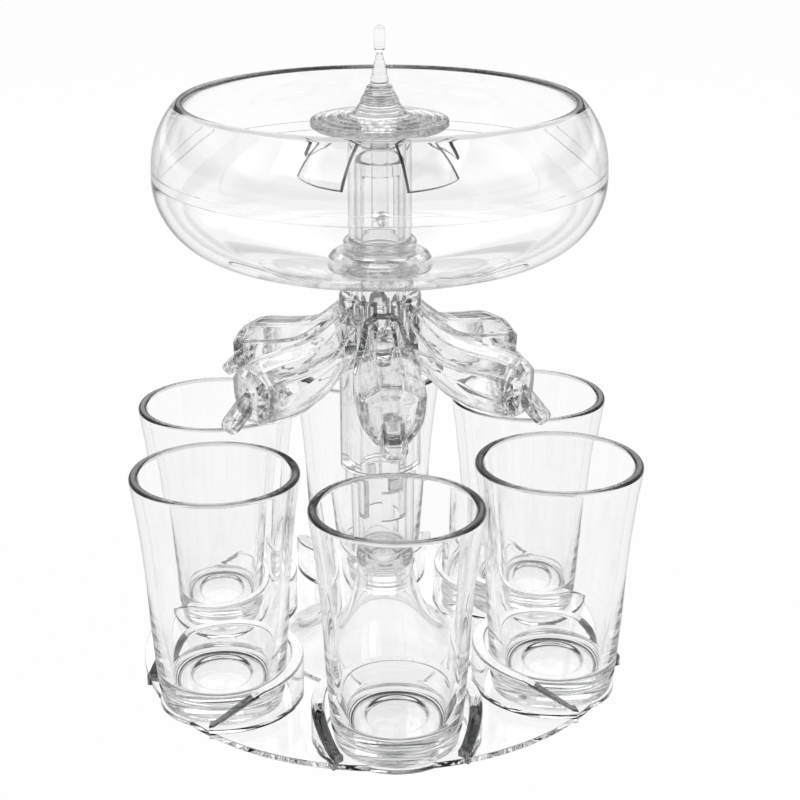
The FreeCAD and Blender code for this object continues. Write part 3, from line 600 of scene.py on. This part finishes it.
ROUND_END = [(3.0, 1, 1), (2.2, 1, 0.95), (1.4, 1, 0.82), (0.8, 0.96, 0.66),
             (0.35, 0.86, 0.47), (0.1, 0.7, 0.3), (0, 0.5, 0.18)]
NOZZLE_WALL = 1.0
nozzle = tongue("nozzle", 1, 1, [(11.5, 1, 1)] + ROUND_END)
bore = tongue("bore", 0.53, 0.74, [(14.5, 1, 1)] + [
    (NOZZLE_WALL + z, thick, wide) for z, thick, wide in ROUND_END])
mouth = tongue("mouth", 0.6, 0.68, [(4.6, 1, 1)] + [
    (NOZZLE_WALL + 0.2 + 0.8 * z, 1, wide) for z, thick, wide in ROUND_END], lower=1.5)
combine(spout, "UNION", nozzle)
combine(spout, "DIFFERENCE", hollow, bore, mouth)
bpy.ops.object.select_all(action="DESELECT")
bpy.ops.mesh.primitive_cylinder_add(vertices=192, radius=(HUB_RADIUS + HAIR) * MM,
                                    depth=80 * MM, location=(0, 0, 20 * MM))
combine(spout, "DIFFERENCE", bpy.context.object)
smooth(spout, 24)


def spout_shade_and_joint(at, normal):
    """The dark glued joint at the root, and painted shade on the flanks of the petal's end and the
    rim of the nozzle.
    """
    if at.x < HUB_RADIUS + 0.6 and abs(normal.x) > 0.8:
        return 5.0           # dark all over, whatever the specks
    if at.z < 8 and at.x > 46.6:
        rim = abs(normal.y) > 0.75 or (normal.x - normal.z) * math.sqrt(0.5) > 0.75
        return 0.7 * rim
    along = (at.x - SPOUT_ROOT) / SPOUT_LENGTH
    flank = abs(normal.y) > 0.4 and normal.x < 0.6 and normal.z < 0.7
    return 0.8 * min(1, max(0, (along - 0.74) / 0.16)) * flank


paint_shade_and_joints(spout, spout_shade_and_joint)
place(spout, z=NOZZLES)
spouts = [spout] + [copy_of(spout, "spout_%d_clear" % (i + 1), STEP * i)
                    for i in range(1, COUNT)]
for i, spout in enumerate(spouts):
    place(spout, turn=FRONT)
    hand_over(spout, "spout_%d" % (i + 1), "head")

# %% [markdown]
# ## The bowl
# The bowl is moulded in two halves that lap at a seam round the belly, and the seam shows as a
# double line. Both halves are single outlines. The real halves are welded, so they sink into
# each other by a hair's width here: a gap of air would shine in the lap like a mirror.

# %% Bowl halves, gasket and clamp ring
lower = lathe("bowl_lower_clear", [
    (10.4, HAIR), (14.9, HAIR), (46.0, 8.4, 0, 1.5), (65.0, 29.8, 5.3), (64.88, 33.1, 0, 0.08),
    (63.8, 33.1), (63.8, 30.3), (62.6, 30.3, 0, 0.1), (45.6, 10.8, -4.8), (14.9, 2.4 - HAIR),
    (10.4, 2.4 - HAIR),
], turns=192)
smooth(lower)
place(lower, z=BOWL)
hand_over(lower, "bowl_lower", "head")

upper = lathe("bowl_upper_clear", [
    (63.8 + HAIR, -2.8 - HAIR), (63.8 + HAIR, -HAIR), (64.88, -HAIR, 0, 0.08), (57.8, 17.6, 1.8, 0.6),
    (56.9, 18.3, 0, 0.5), (55.8, 18.3, 0, 0.5), (55.1, 17.5, 0, 0.5), (62.6, -2.8 - HAIR, -1.8, 0.1),
], turns=192)
smooth(upper)
# Painted shade: the top of the bowl's rim is tinted dark.
paint_shade_and_joints(upper, lambda at, normal: 0.4 * (at.z > 17.5))
place(upper, z=SEAM)
hand_over(upper, "bowl_upper", "head")

gasket = lathe("bowl_gasket_soft", [
    (10.24, 0.02, 0, 0.2), (12.8, 0.02, 0, 0.3), (12.8, 0.88, 0, 0.3), (10.24, 0.88, 0, 0.2)])
place(gasket, z=120.9)
smooth(gasket)
hand_over(gasket, "bowl_gasket", "head")

clamp = lathe("clamp_ring_clear", [
    (10.24, HAIR), (14.5, HAIR, 0, 0.2), (15.3, 0.6, 0, 0.3), (14.3, 2.1, 0, 0.4),
    (12.9, 2.9, 0, 0.4), (10.24, 2.9, 0, 0.2)])
place(clamp, z=BOWL + 2.4)
smooth(clamp)
hand_over(clamp, "clamp_ring", "head")

# %% [markdown]
# ## The valve
# The valve is a sleeve that slides on a fixed guide post. A soft seal under it closes the hub's
# neck, and four thin petals on top shed the drink as it is poured in. The post has a window on
# each side for the knob's pin. A petal is a thin arched section spun through a part of a turn,
# and its first and last columns of faces carry painted shade, the dark lines along its sides.

# %% Guide post, seal and sleeve
post = lathe("guide_post_clear", [
    (5.6, 97.8, 0, 0.2), (7.1, 97.8, 0, 0.2), (7.1, 154.0, 0, 0.4), (5.6, 154.0, 0, 0.4)])
window = bar("window", (-4.6, -10, 135.8), (4.6, 10, 151.4))
apply(window, "BEVEL", width=0.6 * MM, segments=3)
combine(post, "DIFFERENCE", window)
smooth(post)
# Painted shade: the walls of the two windows are tinted dark.
paint_shade_and_joints(post, lambda at, normal: float(135 < at.z < 152 and 5.7 < at.xy.length < 7.0))
hand_over(post, "guide_post", "head")

seal_ring = lathe("valve_seal_soft", [
    (7.5, 128.2, 0, 0.4), (10.8, 128.2, 0, 0.7), (10.8, 130.9 - HAIR, 0, 0.7),
    (7.5, 130.9 - HAIR, 0, 0.3)])
smooth(seal_ring)
hand_over(seal_ring, "valve_seal", "valve")

sleeve = lathe("valve_sleeve_clear", [
    (7.45, 130.9, 0, 0.3), (9.2, 130.9, 0, 0.3), (9.2, VALVE, 0, 0.3), (2.8, VALVE, 0, 0.2),
    (2.8, VALVE - 1, 0, 0.2), (7.45, VALVE - 1, 0, 0.4)])
smooth(sleeve)
hand_over(sleeve, "valve_sleeve", "valve")

# %% Petals
PETAL_ARC = 47
PETAL_TURN = 37.1
PETAL_COLUMNS = 36
PETAL_RIM = PETAL_ARC / PETAL_COLUMNS
petals = sector("petals", [
    (5.2, 1.6), (24.0, -6.9, -3.1, 0.1), (24.6, -6.34, 0, 0.2), (5.2, 2.38, 3.2)],
    PETAL_COLUMNS, PETAL_ARC, PETAL_TURN - PETAL_ARC / 2)
choose(petals)
bpy.ops.object.mode_set(mode="EDIT")
spin(3, 270, copies=True)
bpy.ops.object.mode_set(mode="OBJECT")
guard = lathe("petal_guard_clear", [
    (2.8, HAIR, 0, 0.15), (8.9, HAIR, 0, 0.1), (8.9, 0.8, 0, 0.2), (5.6, 0.8, 0, 0.3),
    (5.6, 2.4, 0, 0.3), (2.8, 2.4, 0, 0.15)])
combine(guard, "UNION", petals)
smooth(guard)


def petal_painted_shade(at, normal):
    """Painted shade on the long edges at the two sides of each petal."""
    off = abs((math.degrees(math.atan2(at.y, at.x)) - PETAL_TURN + 45) % 90 - 45)
    return float(at.xy.length > 5.8 and off > PETAL_ARC / 2 - PETAL_RIM)


paint_shade_and_joints(guard, petal_painted_shade)
place(guard, z=VALVE)
hand_over(guard, "petal_guard", "valve")

# %% [markdown]
# ## The knob
# The knob looks like a drop of water at the moment it leaves the surface: a rippled disc rises
# into a narrow cone with a falling drop on its tip. The ripples are part of the outline, a wave
# that dies away towards the rim. Under the disc sit an hourglass flange and the rod, and the rod
# carries a cross pin and a clip.

# %% Knob
RIPPLE = 0.5                 # from crest to trough
RIPPLE_LENGTH = 2.7
OUTER_CREST = 18.9
RIPPLES_FROM, RIPPLES_TO = 18.4, 8.8
RIPPLE_POINTS = 48
DISC_TOP = 3.05
DISC_SLOPE = 0.14            # the disc rises towards the cone
ripples = []
for i in range(RIPPLE_POINTS):
    radius = RIPPLES_FROM - i * (RIPPLES_FROM - RIPPLES_TO) / (RIPPLE_POINTS - 1)
    wave = math.cos(math.tau * (OUTER_CREST - radius) / RIPPLE_LENGTH)
    ripples.append((radius, DISC_TOP + DISC_SLOPE * (RIPPLES_FROM - radius)
                    + RIPPLE * (wave - 1) / 2))
knob = lathe("knob_clear", [
    (0, HAIR), (17.4, HAIR, 0, 0.6), (19.8, 1.2, 0.3, 0.4), (19.8, 2.7, 0, 0.35),
    (19.0, 3.1, 0, 0.3)] + ripples + [
    (7.7, 4.7, -0.15), (7.0, 5.8, -0.1, 0.4), (6.3, 6.6, -0.1, 0.3), (5.4, 8.5, -0.15),
    (5.0, 9.3, -0.05, 0.2), (4.4, 10.3, -0.1), (3.8, 11.8, -0.1, 0.2), (3.5, 12.2, 0, 0.2),
    (2.8, 12.4, 0.1, 0.2), (2.5, 14.4, -0.1), (2.03, 16.5, -0.1), (1.54, 18.7, -0.1),
    (1.1, 20.5, -0.1), (0.7, 21.7, -0.1, 0.2), (1.45, 23.1, 0.35), (1.6, 25.4, 0.06),
    (1.5, 27.5, 0.06), (0, 29.1, 0.5),
], turns=160, closed=False)
smooth(knob)
# Painted shade: the outward slopes of the ripples and the rim of the disc are tinted dark.
paint_shade_and_joints(knob, lambda at, normal: 0.8 * (
    8.8 < at.xy.length < 19 and at.z > 2.4 and normal.xy.dot(at.xy.normalized()) > 0.12)
    or 0.6 * (at.xy.length > 18.9 and at.z < 3.2))
place(knob, z=DISC)
hand_over(knob, "knob", "knob")

# %% Flange, rod, pin and clip
flange = lathe("knob_flange_clear", [
    (2.44, 0, 0, 0.1), (5.4, 0, 0, 0.2), (5.4, 0.5, 0, 0.1), (10.4, 1.6, -0.7, 0.1),
    (10.4, 2.1, 0, 0.2), (7.6, 3.2, 0, 0.3), (2.44, 3.2, 0, 0.1)])
place(flange, z=161.2)
smooth(flange)
hand_over(flange, "knob_flange", "knob")

PIN = 140.4                  # the height of the pin
rod = lathe("knob_rod_clear", [
    (0, 134.4), (2.4, 134.4, 0, 0.5), (2.4, DISC - HAIR, 0, 0.1), (0, DISC - HAIR)],
    turns=64, closed=False)
eye = lathe("eye", [(0, -4), (1.24, -4), (1.24, 4), (0, 4)], turns=48, closed=False)
pin = lathe("lock_pin_clear", [
    (0, -6.9), (1.2, -6.9, 0, 0.3), (1.2, 6.9, 0, 0.3), (0, 6.9)], turns=48, closed=False)
for round_bar in (eye, pin):
    choose(round_bar)
    round_bar.rotation_euler.x = math.pi / 2
    round_bar.location.z = PIN * MM
    bpy.ops.object.transform_apply(location=True, rotation=True, scale=True)
combine(rod, "DIFFERENCE", eye)
smooth(rod)
smooth(pin)
hand_over(rod, "knob_rod", "knob")
hand_over(pin, "lock_pin", "knob")

clip = lathe("rod_clip_clear", [
    (2.44, 156.1, 0, 0.2), (4.3, 156.1, 0, 0.3), (4.3, 157.1, 0, 0.3), (2.44, 157.1, 0, 0.2)],
    turns=64)
smooth(clip)
hand_over(clip, "rod_clip", "knob")

# %% [markdown]
# ## Finishes
# Clear acrylic is not perfectly even. A moulding keeps faint waves from the way the melt flowed,
# and handling leaves soft smudges that dull the gloss in places. Both effects are node groups, so
# that each finish can use them at its own strength. They put out a roughness, a height and the
# specks that break up the painted shade on the faces that carry it.
# The glass itself stays in the material: it bends light as acrylic does, and a plain absorption
# in its volume makes thick places and edges greyer, as they are in the real plastic.

# %% Shared effects
def new_group(name, inputs, outputs):
    group = bpy.data.node_groups.new(name, "ShaderNodeTree")
    for label, kind, value in inputs:
        socket = group.interface.new_socket(label, in_out="INPUT", socket_type=kind)
        if value is not None:
            socket.default_value = value
    for label in outputs:
        group.interface.new_socket(label, in_out="OUTPUT", socket_type="NodeSocketFloat")
    return group, group.nodes.new("NodeGroupInput"), group.nodes.new("NodeGroupOutput")


def add(tree, kind, links=(), **settings):
    """A node with its settings, and its inputs linked or set by name."""
    node = tree.nodes.new(kind)
    for key, value in settings.items():
        setattr(node, key, value)
    for label, value in dict(links).items():
        socket = node.inputs[label]
        if isinstance(value, bpy.types.NodeSocket):
            tree.links.new(value, socket)
        else:
            socket.default_value = value
    return node


flow, into, out = new_group("moulding flow", [
    ("Vector", "NodeSocketVector", None), ("Wave size", "NodeSocketFloat", 90.0),
    ("Grain size", "NodeSocketFloat", 700.0), ("Grain share", "NodeSocketFloat", 0.04)],
    ["Height", "Speckle"])
waves = add(flow, "ShaderNodeTexNoise", {
    "Vector": into.outputs["Vector"], "Scale": into.outputs["Wave size"], "Detail": 1.5,
    "Distortion": 0.6})
grain = add(flow, "ShaderNodeTexNoise", {
    "Vector": into.outputs["Vector"], "Scale": into.outputs["Grain size"], "Detail": 2.0})
fine = add(flow, "ShaderNodeMath", {1: into.outputs["Grain share"]}, operation="MULTIPLY")
flow.links.new(grain.outputs["Fac"], fine.inputs[0])
both = add(flow, "ShaderNodeMath", operation="ADD")
flow.links.new(waves.outputs["Fac"], both.inputs[0])
flow.links.new(fine.outputs[0], both.inputs[1])
flow.links.new(both.outputs[0], out.inputs["Height"])
speckle = add(flow, "ShaderNodeMapRange", {
    "Value": grain.outputs["Fac"], "From Min": 0.42, "From Max": 0.56})
flow.links.new(speckle.outputs["Result"], out.inputs["Speckle"])

smudges, into, out = new_group("handling smudges", [
    ("Vector", "NodeSocketVector", None), ("Clean", "NodeSocketFloat", 0.0),
    ("Smudged", "NodeSocketFloat", 0.05)], ["Roughness"])
patches = add(smudges, "ShaderNodeTexNoise", {
    "Vector": into.outputs["Vector"], "Scale": 55.0, "Detail": 3.0, "Roughness": 0.6})
spread = add(smudges, "ShaderNodeMapRange", {
    "Value": patches.outputs["Fac"], "From Min": 0.5, "From Max": 0.75,
    "To Min": into.outputs["Clean"], "To Max": into.outputs["Smudged"]})
smudges.links.new(spread.outputs["Result"], out.inputs["Roughness"])

# %% [markdown]
# ## Clear and soft plastic
# The Principled shader with full transmission is the glass. Seen edge on, a wall of acrylic looks
# darker than seen square on, from what it reflects, so Layer Weight paints shade into its base
# colour at grazing angles, and the stored attribute paints shade on chosen rims and edges and tints
# the dark glued joints. A transparent shader takes over for shadow rays, which lets the lamps shine
# through the walls, as light really does.

# %% Acrylic and silicone
def plastic(name, density, grazing_shade_from=0.65, shade_and_joint_tint=0.12, wave=0.02, wave_size=90.0,
            grit=3.0, stretch=1.0, specks=0.0, shine=0.5):
    """Clear acrylic. Density greys it in depth, and painted shade greys edges from a share of the
    grazing angle. Wave is the moulding's unevenness in mm, grit the roughness of the faces with
    stored painted shade or a joint, and a stretch below 1 draws the waves out into streaks along Z.
    Specks is how far that painted shade is broken up, and shine how strongly the surface reflects."""
    material = bpy.data.materials.new(name)
    material.use_nodes = True
    tree = material.node_tree
    tree.nodes.clear()
    place_on = add(tree, "ShaderNodeTexCoord")
    drawn_out = add(tree, "ShaderNodeMapping", {
        "Vector": place_on.outputs["Object"], "Scale": (1, 1, stretch)})
    height = add(tree, "ShaderNodeGroup", node_tree=flow)
    tree.links.new(drawn_out.outputs["Vector"], height.inputs["Vector"])
    height.inputs["Wave size"].default_value = wave_size
    gloss = add(tree, "ShaderNodeGroup", node_tree=smudges)
    tree.links.new(place_on.outputs["Object"], gloss.inputs["Vector"])
    gloss.inputs["Smudged"].default_value = 0.03
    relief = add(tree, "ShaderNodeBump", {
        "Strength": 1.0, "Distance": wave * MM, "Height": height.outputs["Height"]})
    # Painted shade: the base colour darkens towards grazing angles.
    facing = add(tree, "ShaderNodeLayerWeight", {"Blend": 0.5})
    edge = add(tree, "ShaderNodeMapRange", {
        "Value": facing.outputs["Facing"], "From Min": grazing_shade_from, "From Max": 1.0},
        interpolation_type="SMOOTHSTEP")
    # The stored attribute: painted shade on chosen faces, and the dark glued joints.
    cut = add(tree, "ShaderNodeAttribute", attribute_name="edge")
    ground = add(tree, "ShaderNodeMath", {0: cut.outputs["Fac"], 1: grit, 2: 0.04},
                 operation="MULTIPLY_ADD")
    tree.links.new(ground.outputs[0], height.inputs["Grain share"])
    broken = add(tree, "ShaderNodeMath", {
        0: height.outputs["Speckle"], 1: specks, 2: 1.0 - specks}, operation="MULTIPLY_ADD")
    darkest = add(tree, "ShaderNodeMath", {
        0: cut.outputs["Fac"], 1: broken.outputs[0], 2: edge.outputs["Result"]},
        operation="MULTIPLY_ADD", use_clamp=True)
    colour = add(tree, "ShaderNodeMix", data_type="RGBA")
    tree.links.new(darkest.outputs[0], colour.inputs["Factor"])
    colour.inputs[6].default_value = (1, 1, 1, 1)
    colour.inputs[7].default_value = (shade_and_joint_tint, 1.03 * shade_and_joint_tint, 1.05 * shade_and_joint_tint, 1)
    shader = add(tree, "ShaderNodeBsdfPrincipled", {
        "Base Color": colour.outputs[2], "Roughness": gloss.outputs["Roughness"],
        "IOR": 1.49, "Specular IOR Level": shine, "Transmission Weight": 1.0,
        "Normal": relief.outputs["Normal"]})
    clear = add(tree, "ShaderNodeBsdfTransparent", {"Color": (0.93, 0.93, 0.93, 1)})
    rays = add(tree, "ShaderNodeLightPath")
    choice = add(tree, "ShaderNodeMixShader", {"Fac": rays.outputs["Is Shadow Ray"]})
    tree.links.new(shader.outputs["BSDF"], choice.inputs[1])
    tree.links.new(clear.outputs["BSDF"], choice.inputs[2])
    inside = add(tree, "ShaderNodeVolumeAbsorption", {
        "Color": (0.35, 0.37, 0.38, 1), "Density": density})
    output = add(tree, "ShaderNodeOutputMaterial")
    tree.links.new(choice.outputs["Shader"], output.inputs["Surface"])
    tree.links.new(inside.outputs["Volume"], output.inputs["Volume"])
    return material


finishes = {
    "cup": plastic("clear cup acrylic", 9.0, grazing_shade_from=0.78, wave=0.012, wave_size=60.0),
    "spout": plastic("clear spout acrylic", 7.0, shade_and_joint_tint=0.03, wave=0.05, wave_size=160.0,
                     specks=0.8),
    "hub": plastic("streaked acrylic", 8.0, shade_and_joint_tint=0.03, wave=0.1, wave_size=400.0,
                   stretch=0.15, specks=0.3),
    "base_tray": plastic("clear tray acrylic", 0.8, grazing_shade_from=0.8, shade_and_joint_tint=0.05, grit=6.0),
    "bowl": plastic("clear bowl acrylic", 4.0, grazing_shade_from=0.7, shade_and_joint_tint=0.12, wave=0.005,
                    shine=0.2),
    "petal": plastic("thin clear acrylic", 25.0, grazing_shade_from=0.92, shade_and_joint_tint=0.01),
    "knob": plastic("rippled acrylic", 8.0, grazing_shade_from=0.6, shade_and_joint_tint=0.03, wave=0.12,
                    wave_size=260.0, specks=0.5),
}
acrylic = plastic("clear acrylic", 18.0, grazing_shade_from=0.45, shade_and_joint_tint=0.05)

silicone = bpy.data.materials.new("milky silicone")
silicone.use_nodes = True
tree = silicone.node_tree
shader = tree.nodes["Principled BSDF"]
place_on = add(tree, "ShaderNodeTexCoord")
gloss = add(tree, "ShaderNodeGroup", node_tree=smudges)
tree.links.new(place_on.outputs["Object"], gloss.inputs["Vector"])
gloss.inputs["Clean"].default_value = 0.08
gloss.inputs["Smudged"].default_value = 0.25
cloud = add(tree, "ShaderNodeTexNoise", {"Scale": 240.0, "Detail": 3.0})
tree.links.new(place_on.outputs["Object"], cloud.inputs["Vector"])
milk = add(tree, "ShaderNodeMix", data_type="RGBA")
tree.links.new(cloud.outputs["Fac"], milk.inputs["Factor"])
milk.inputs[6].default_value = (0.94, 0.945, 0.95, 1)
milk.inputs[7].default_value = (0.98, 0.982, 0.985, 1)
tree.links.new(milk.outputs[2], shader.inputs["Base Color"])
tree.links.new(gloss.outputs["Roughness"], shader.inputs["Roughness"])
shader.inputs["Transmission Weight"].default_value = 0.92
shader.inputs["IOR"].default_value = 1.41

for piece in made:
    piece.data.materials.clear()
    if piece.name.endswith("_soft"):
        piece.data.materials.append(silicone)
    else:
        finish = [clear for start, clear in finishes.items() if piece.name.startswith(start)]
        piece.data.materials.append(finish[0] if finish else acrylic)

# %% [markdown]
# ## Floor, light and camera
# Clear things are shown by what they reflect and bend, so a studio puts them in a white tent,
# and a dark strip just over the horizon and a dark ceiling draw the rims and the edges. The floor
# and the world look white to the camera and through the plastic, while the light on the object
# stays plain. The floor is darker in reflections, which draws the upright walls, and it keeps
# some of its own shading, so the shadow under the tray is there.

# %% Floor and world
bpy.ops.object.select_all(action="DESELECT")
bpy.ops.mesh.primitive_circle_add(vertices=128, radius=6, fill_type="NGON",
                                  location=(0, 0, -0.2 * MM))
floor = bpy.context.object
floor.name = "floor"
paper = bpy.data.materials.new("white paper")
paper.use_nodes = True
tree = paper.node_tree
tree.nodes.clear()
matt = add(tree, "ShaderNodeBsdfDiffuse", {"Color": (0.93, 0.93, 0.93, 1)})
glow = add(tree, "ShaderNodeEmission", {"Color": (1, 1, 1, 1), "Strength": 1.0})
rays = add(tree, "ShaderNodeLightPath")
mirrored = add(tree, "ShaderNodeMath", {0: rays.outputs["Is Glossy Ray"], 1: 0.3},
               operation="MULTIPLY")
seen = add(tree, "ShaderNodeMath", {
    0: rays.outputs["Is Camera Ray"], 1: mirrored.outputs[0]}, operation="MAXIMUM")
seen = add(tree, "ShaderNodeMath", {
    0: seen.outputs[0], 1: rays.outputs["Is Transmission Ray"]}, operation="MAXIMUM")
share = add(tree, "ShaderNodeMath", {0: seen.outputs[0], 1: 0.975}, operation="MULTIPLY")
blend = add(tree, "ShaderNodeMixShader", {"Fac": share.outputs[0]})
tree.links.new(matt.outputs["BSDF"], blend.inputs[1])
tree.links.new(glow.outputs["Emission"], blend.inputs[2])
output = add(tree, "ShaderNodeOutputMaterial")
tree.links.new(blend.outputs["Shader"], output.inputs["Surface"])
floor.data.materials.append(paper)

world = bpy.data.worlds.new("tent")
bpy.context.scene.world = world
world.use_nodes = True
tree = world.node_tree
tree.nodes.clear()
direction = add(tree, "ShaderNodeTexCoord")
parts = add(tree, "ShaderNodeSeparateXYZ", {"Vector": direction.outputs["Generated"]})
bands = add(tree, "ShaderNodeValToRGB", {"Fac": parts.outputs["Z"]})
stops = bands.color_ramp.elements
# height in the sky, from 0 at the horizon to 1 overhead, and how bright it is there
TENT = ((0.05, 1.0), (0.09, 0.1), (0.27, 0.1), (0.33, 1.0), (0.48, 1.0), (0.66, 0.05))
for band in TENT[1:-1]:
    stops.new(band[0])
for stop, (height, grey) in zip(stops, TENT):
    stop.position = height
    stop.color = (grey, grey, grey, 1)
rays = add(tree, "ShaderNodeLightPath")
level = add(tree, "ShaderNodeMix", {
    "Factor": rays.outputs["Is Camera Ray"], "A": bands.outputs["Color"], "B": 1.0})
tent = add(tree, "ShaderNodeBackground", {"Color": (1, 1, 1, 1),
                                          "Strength": level.outputs[0]})
output = add(tree, "ShaderNodeOutputWorld")
tree.links.new(tent.outputs["Background"], output.inputs["Surface"])

# %% Lamps
for name, spot, size, power in (
        ("key", (-0.55, -0.6, 0.9), 0.7, 3.0), ("fill", (0.7, -0.35, 0.6), 0.8, 1.5),
        ("back", (0.1, 0.8, 0.7), 0.9, 2.0)):
    bpy.ops.object.light_add(type="AREA", location=spot)
    lamp = bpy.context.object
    lamp.name = name
    lamp.data.size = size
    lamp.data.energy = power
    aim = Vector((0, 0, 0.09)) - Vector(spot)
    lamp.rotation_euler = aim.to_track_quat("-Z", "Y").to_euler()

# %% Camera
bpy.ops.object.camera_add(location=(-38.26 * MM, -491.49 * MM, 263.44 * MM),
                          rotation=(math.radians(69.789), 0, math.radians(-4.86)))
camera = bpy.context.object
camera.data.lens = 78.84
camera.data.sensor_width = 36
camera.data.shift_x = 0.0099
camera.data.shift_y = 0.0016
camera.data.clip_start = 0.01
scene = bpy.context.scene
scene.camera = camera
scene.view_settings.view_transform = "Standard"
scene.cycles.max_bounces = 40
scene.cycles.transmission_bounces = 40
scene.cycles.glossy_bounces = 24

# %% [markdown]
# ## The count
# The pieces and their faces are counted and printed. The visual model has to stay inside
# the CAD model's box.

# %% Counting pieces and faces
faces = sum(len(p.data.polygons) for p in made)
print(len(made), "pieces,", faces, "faces")
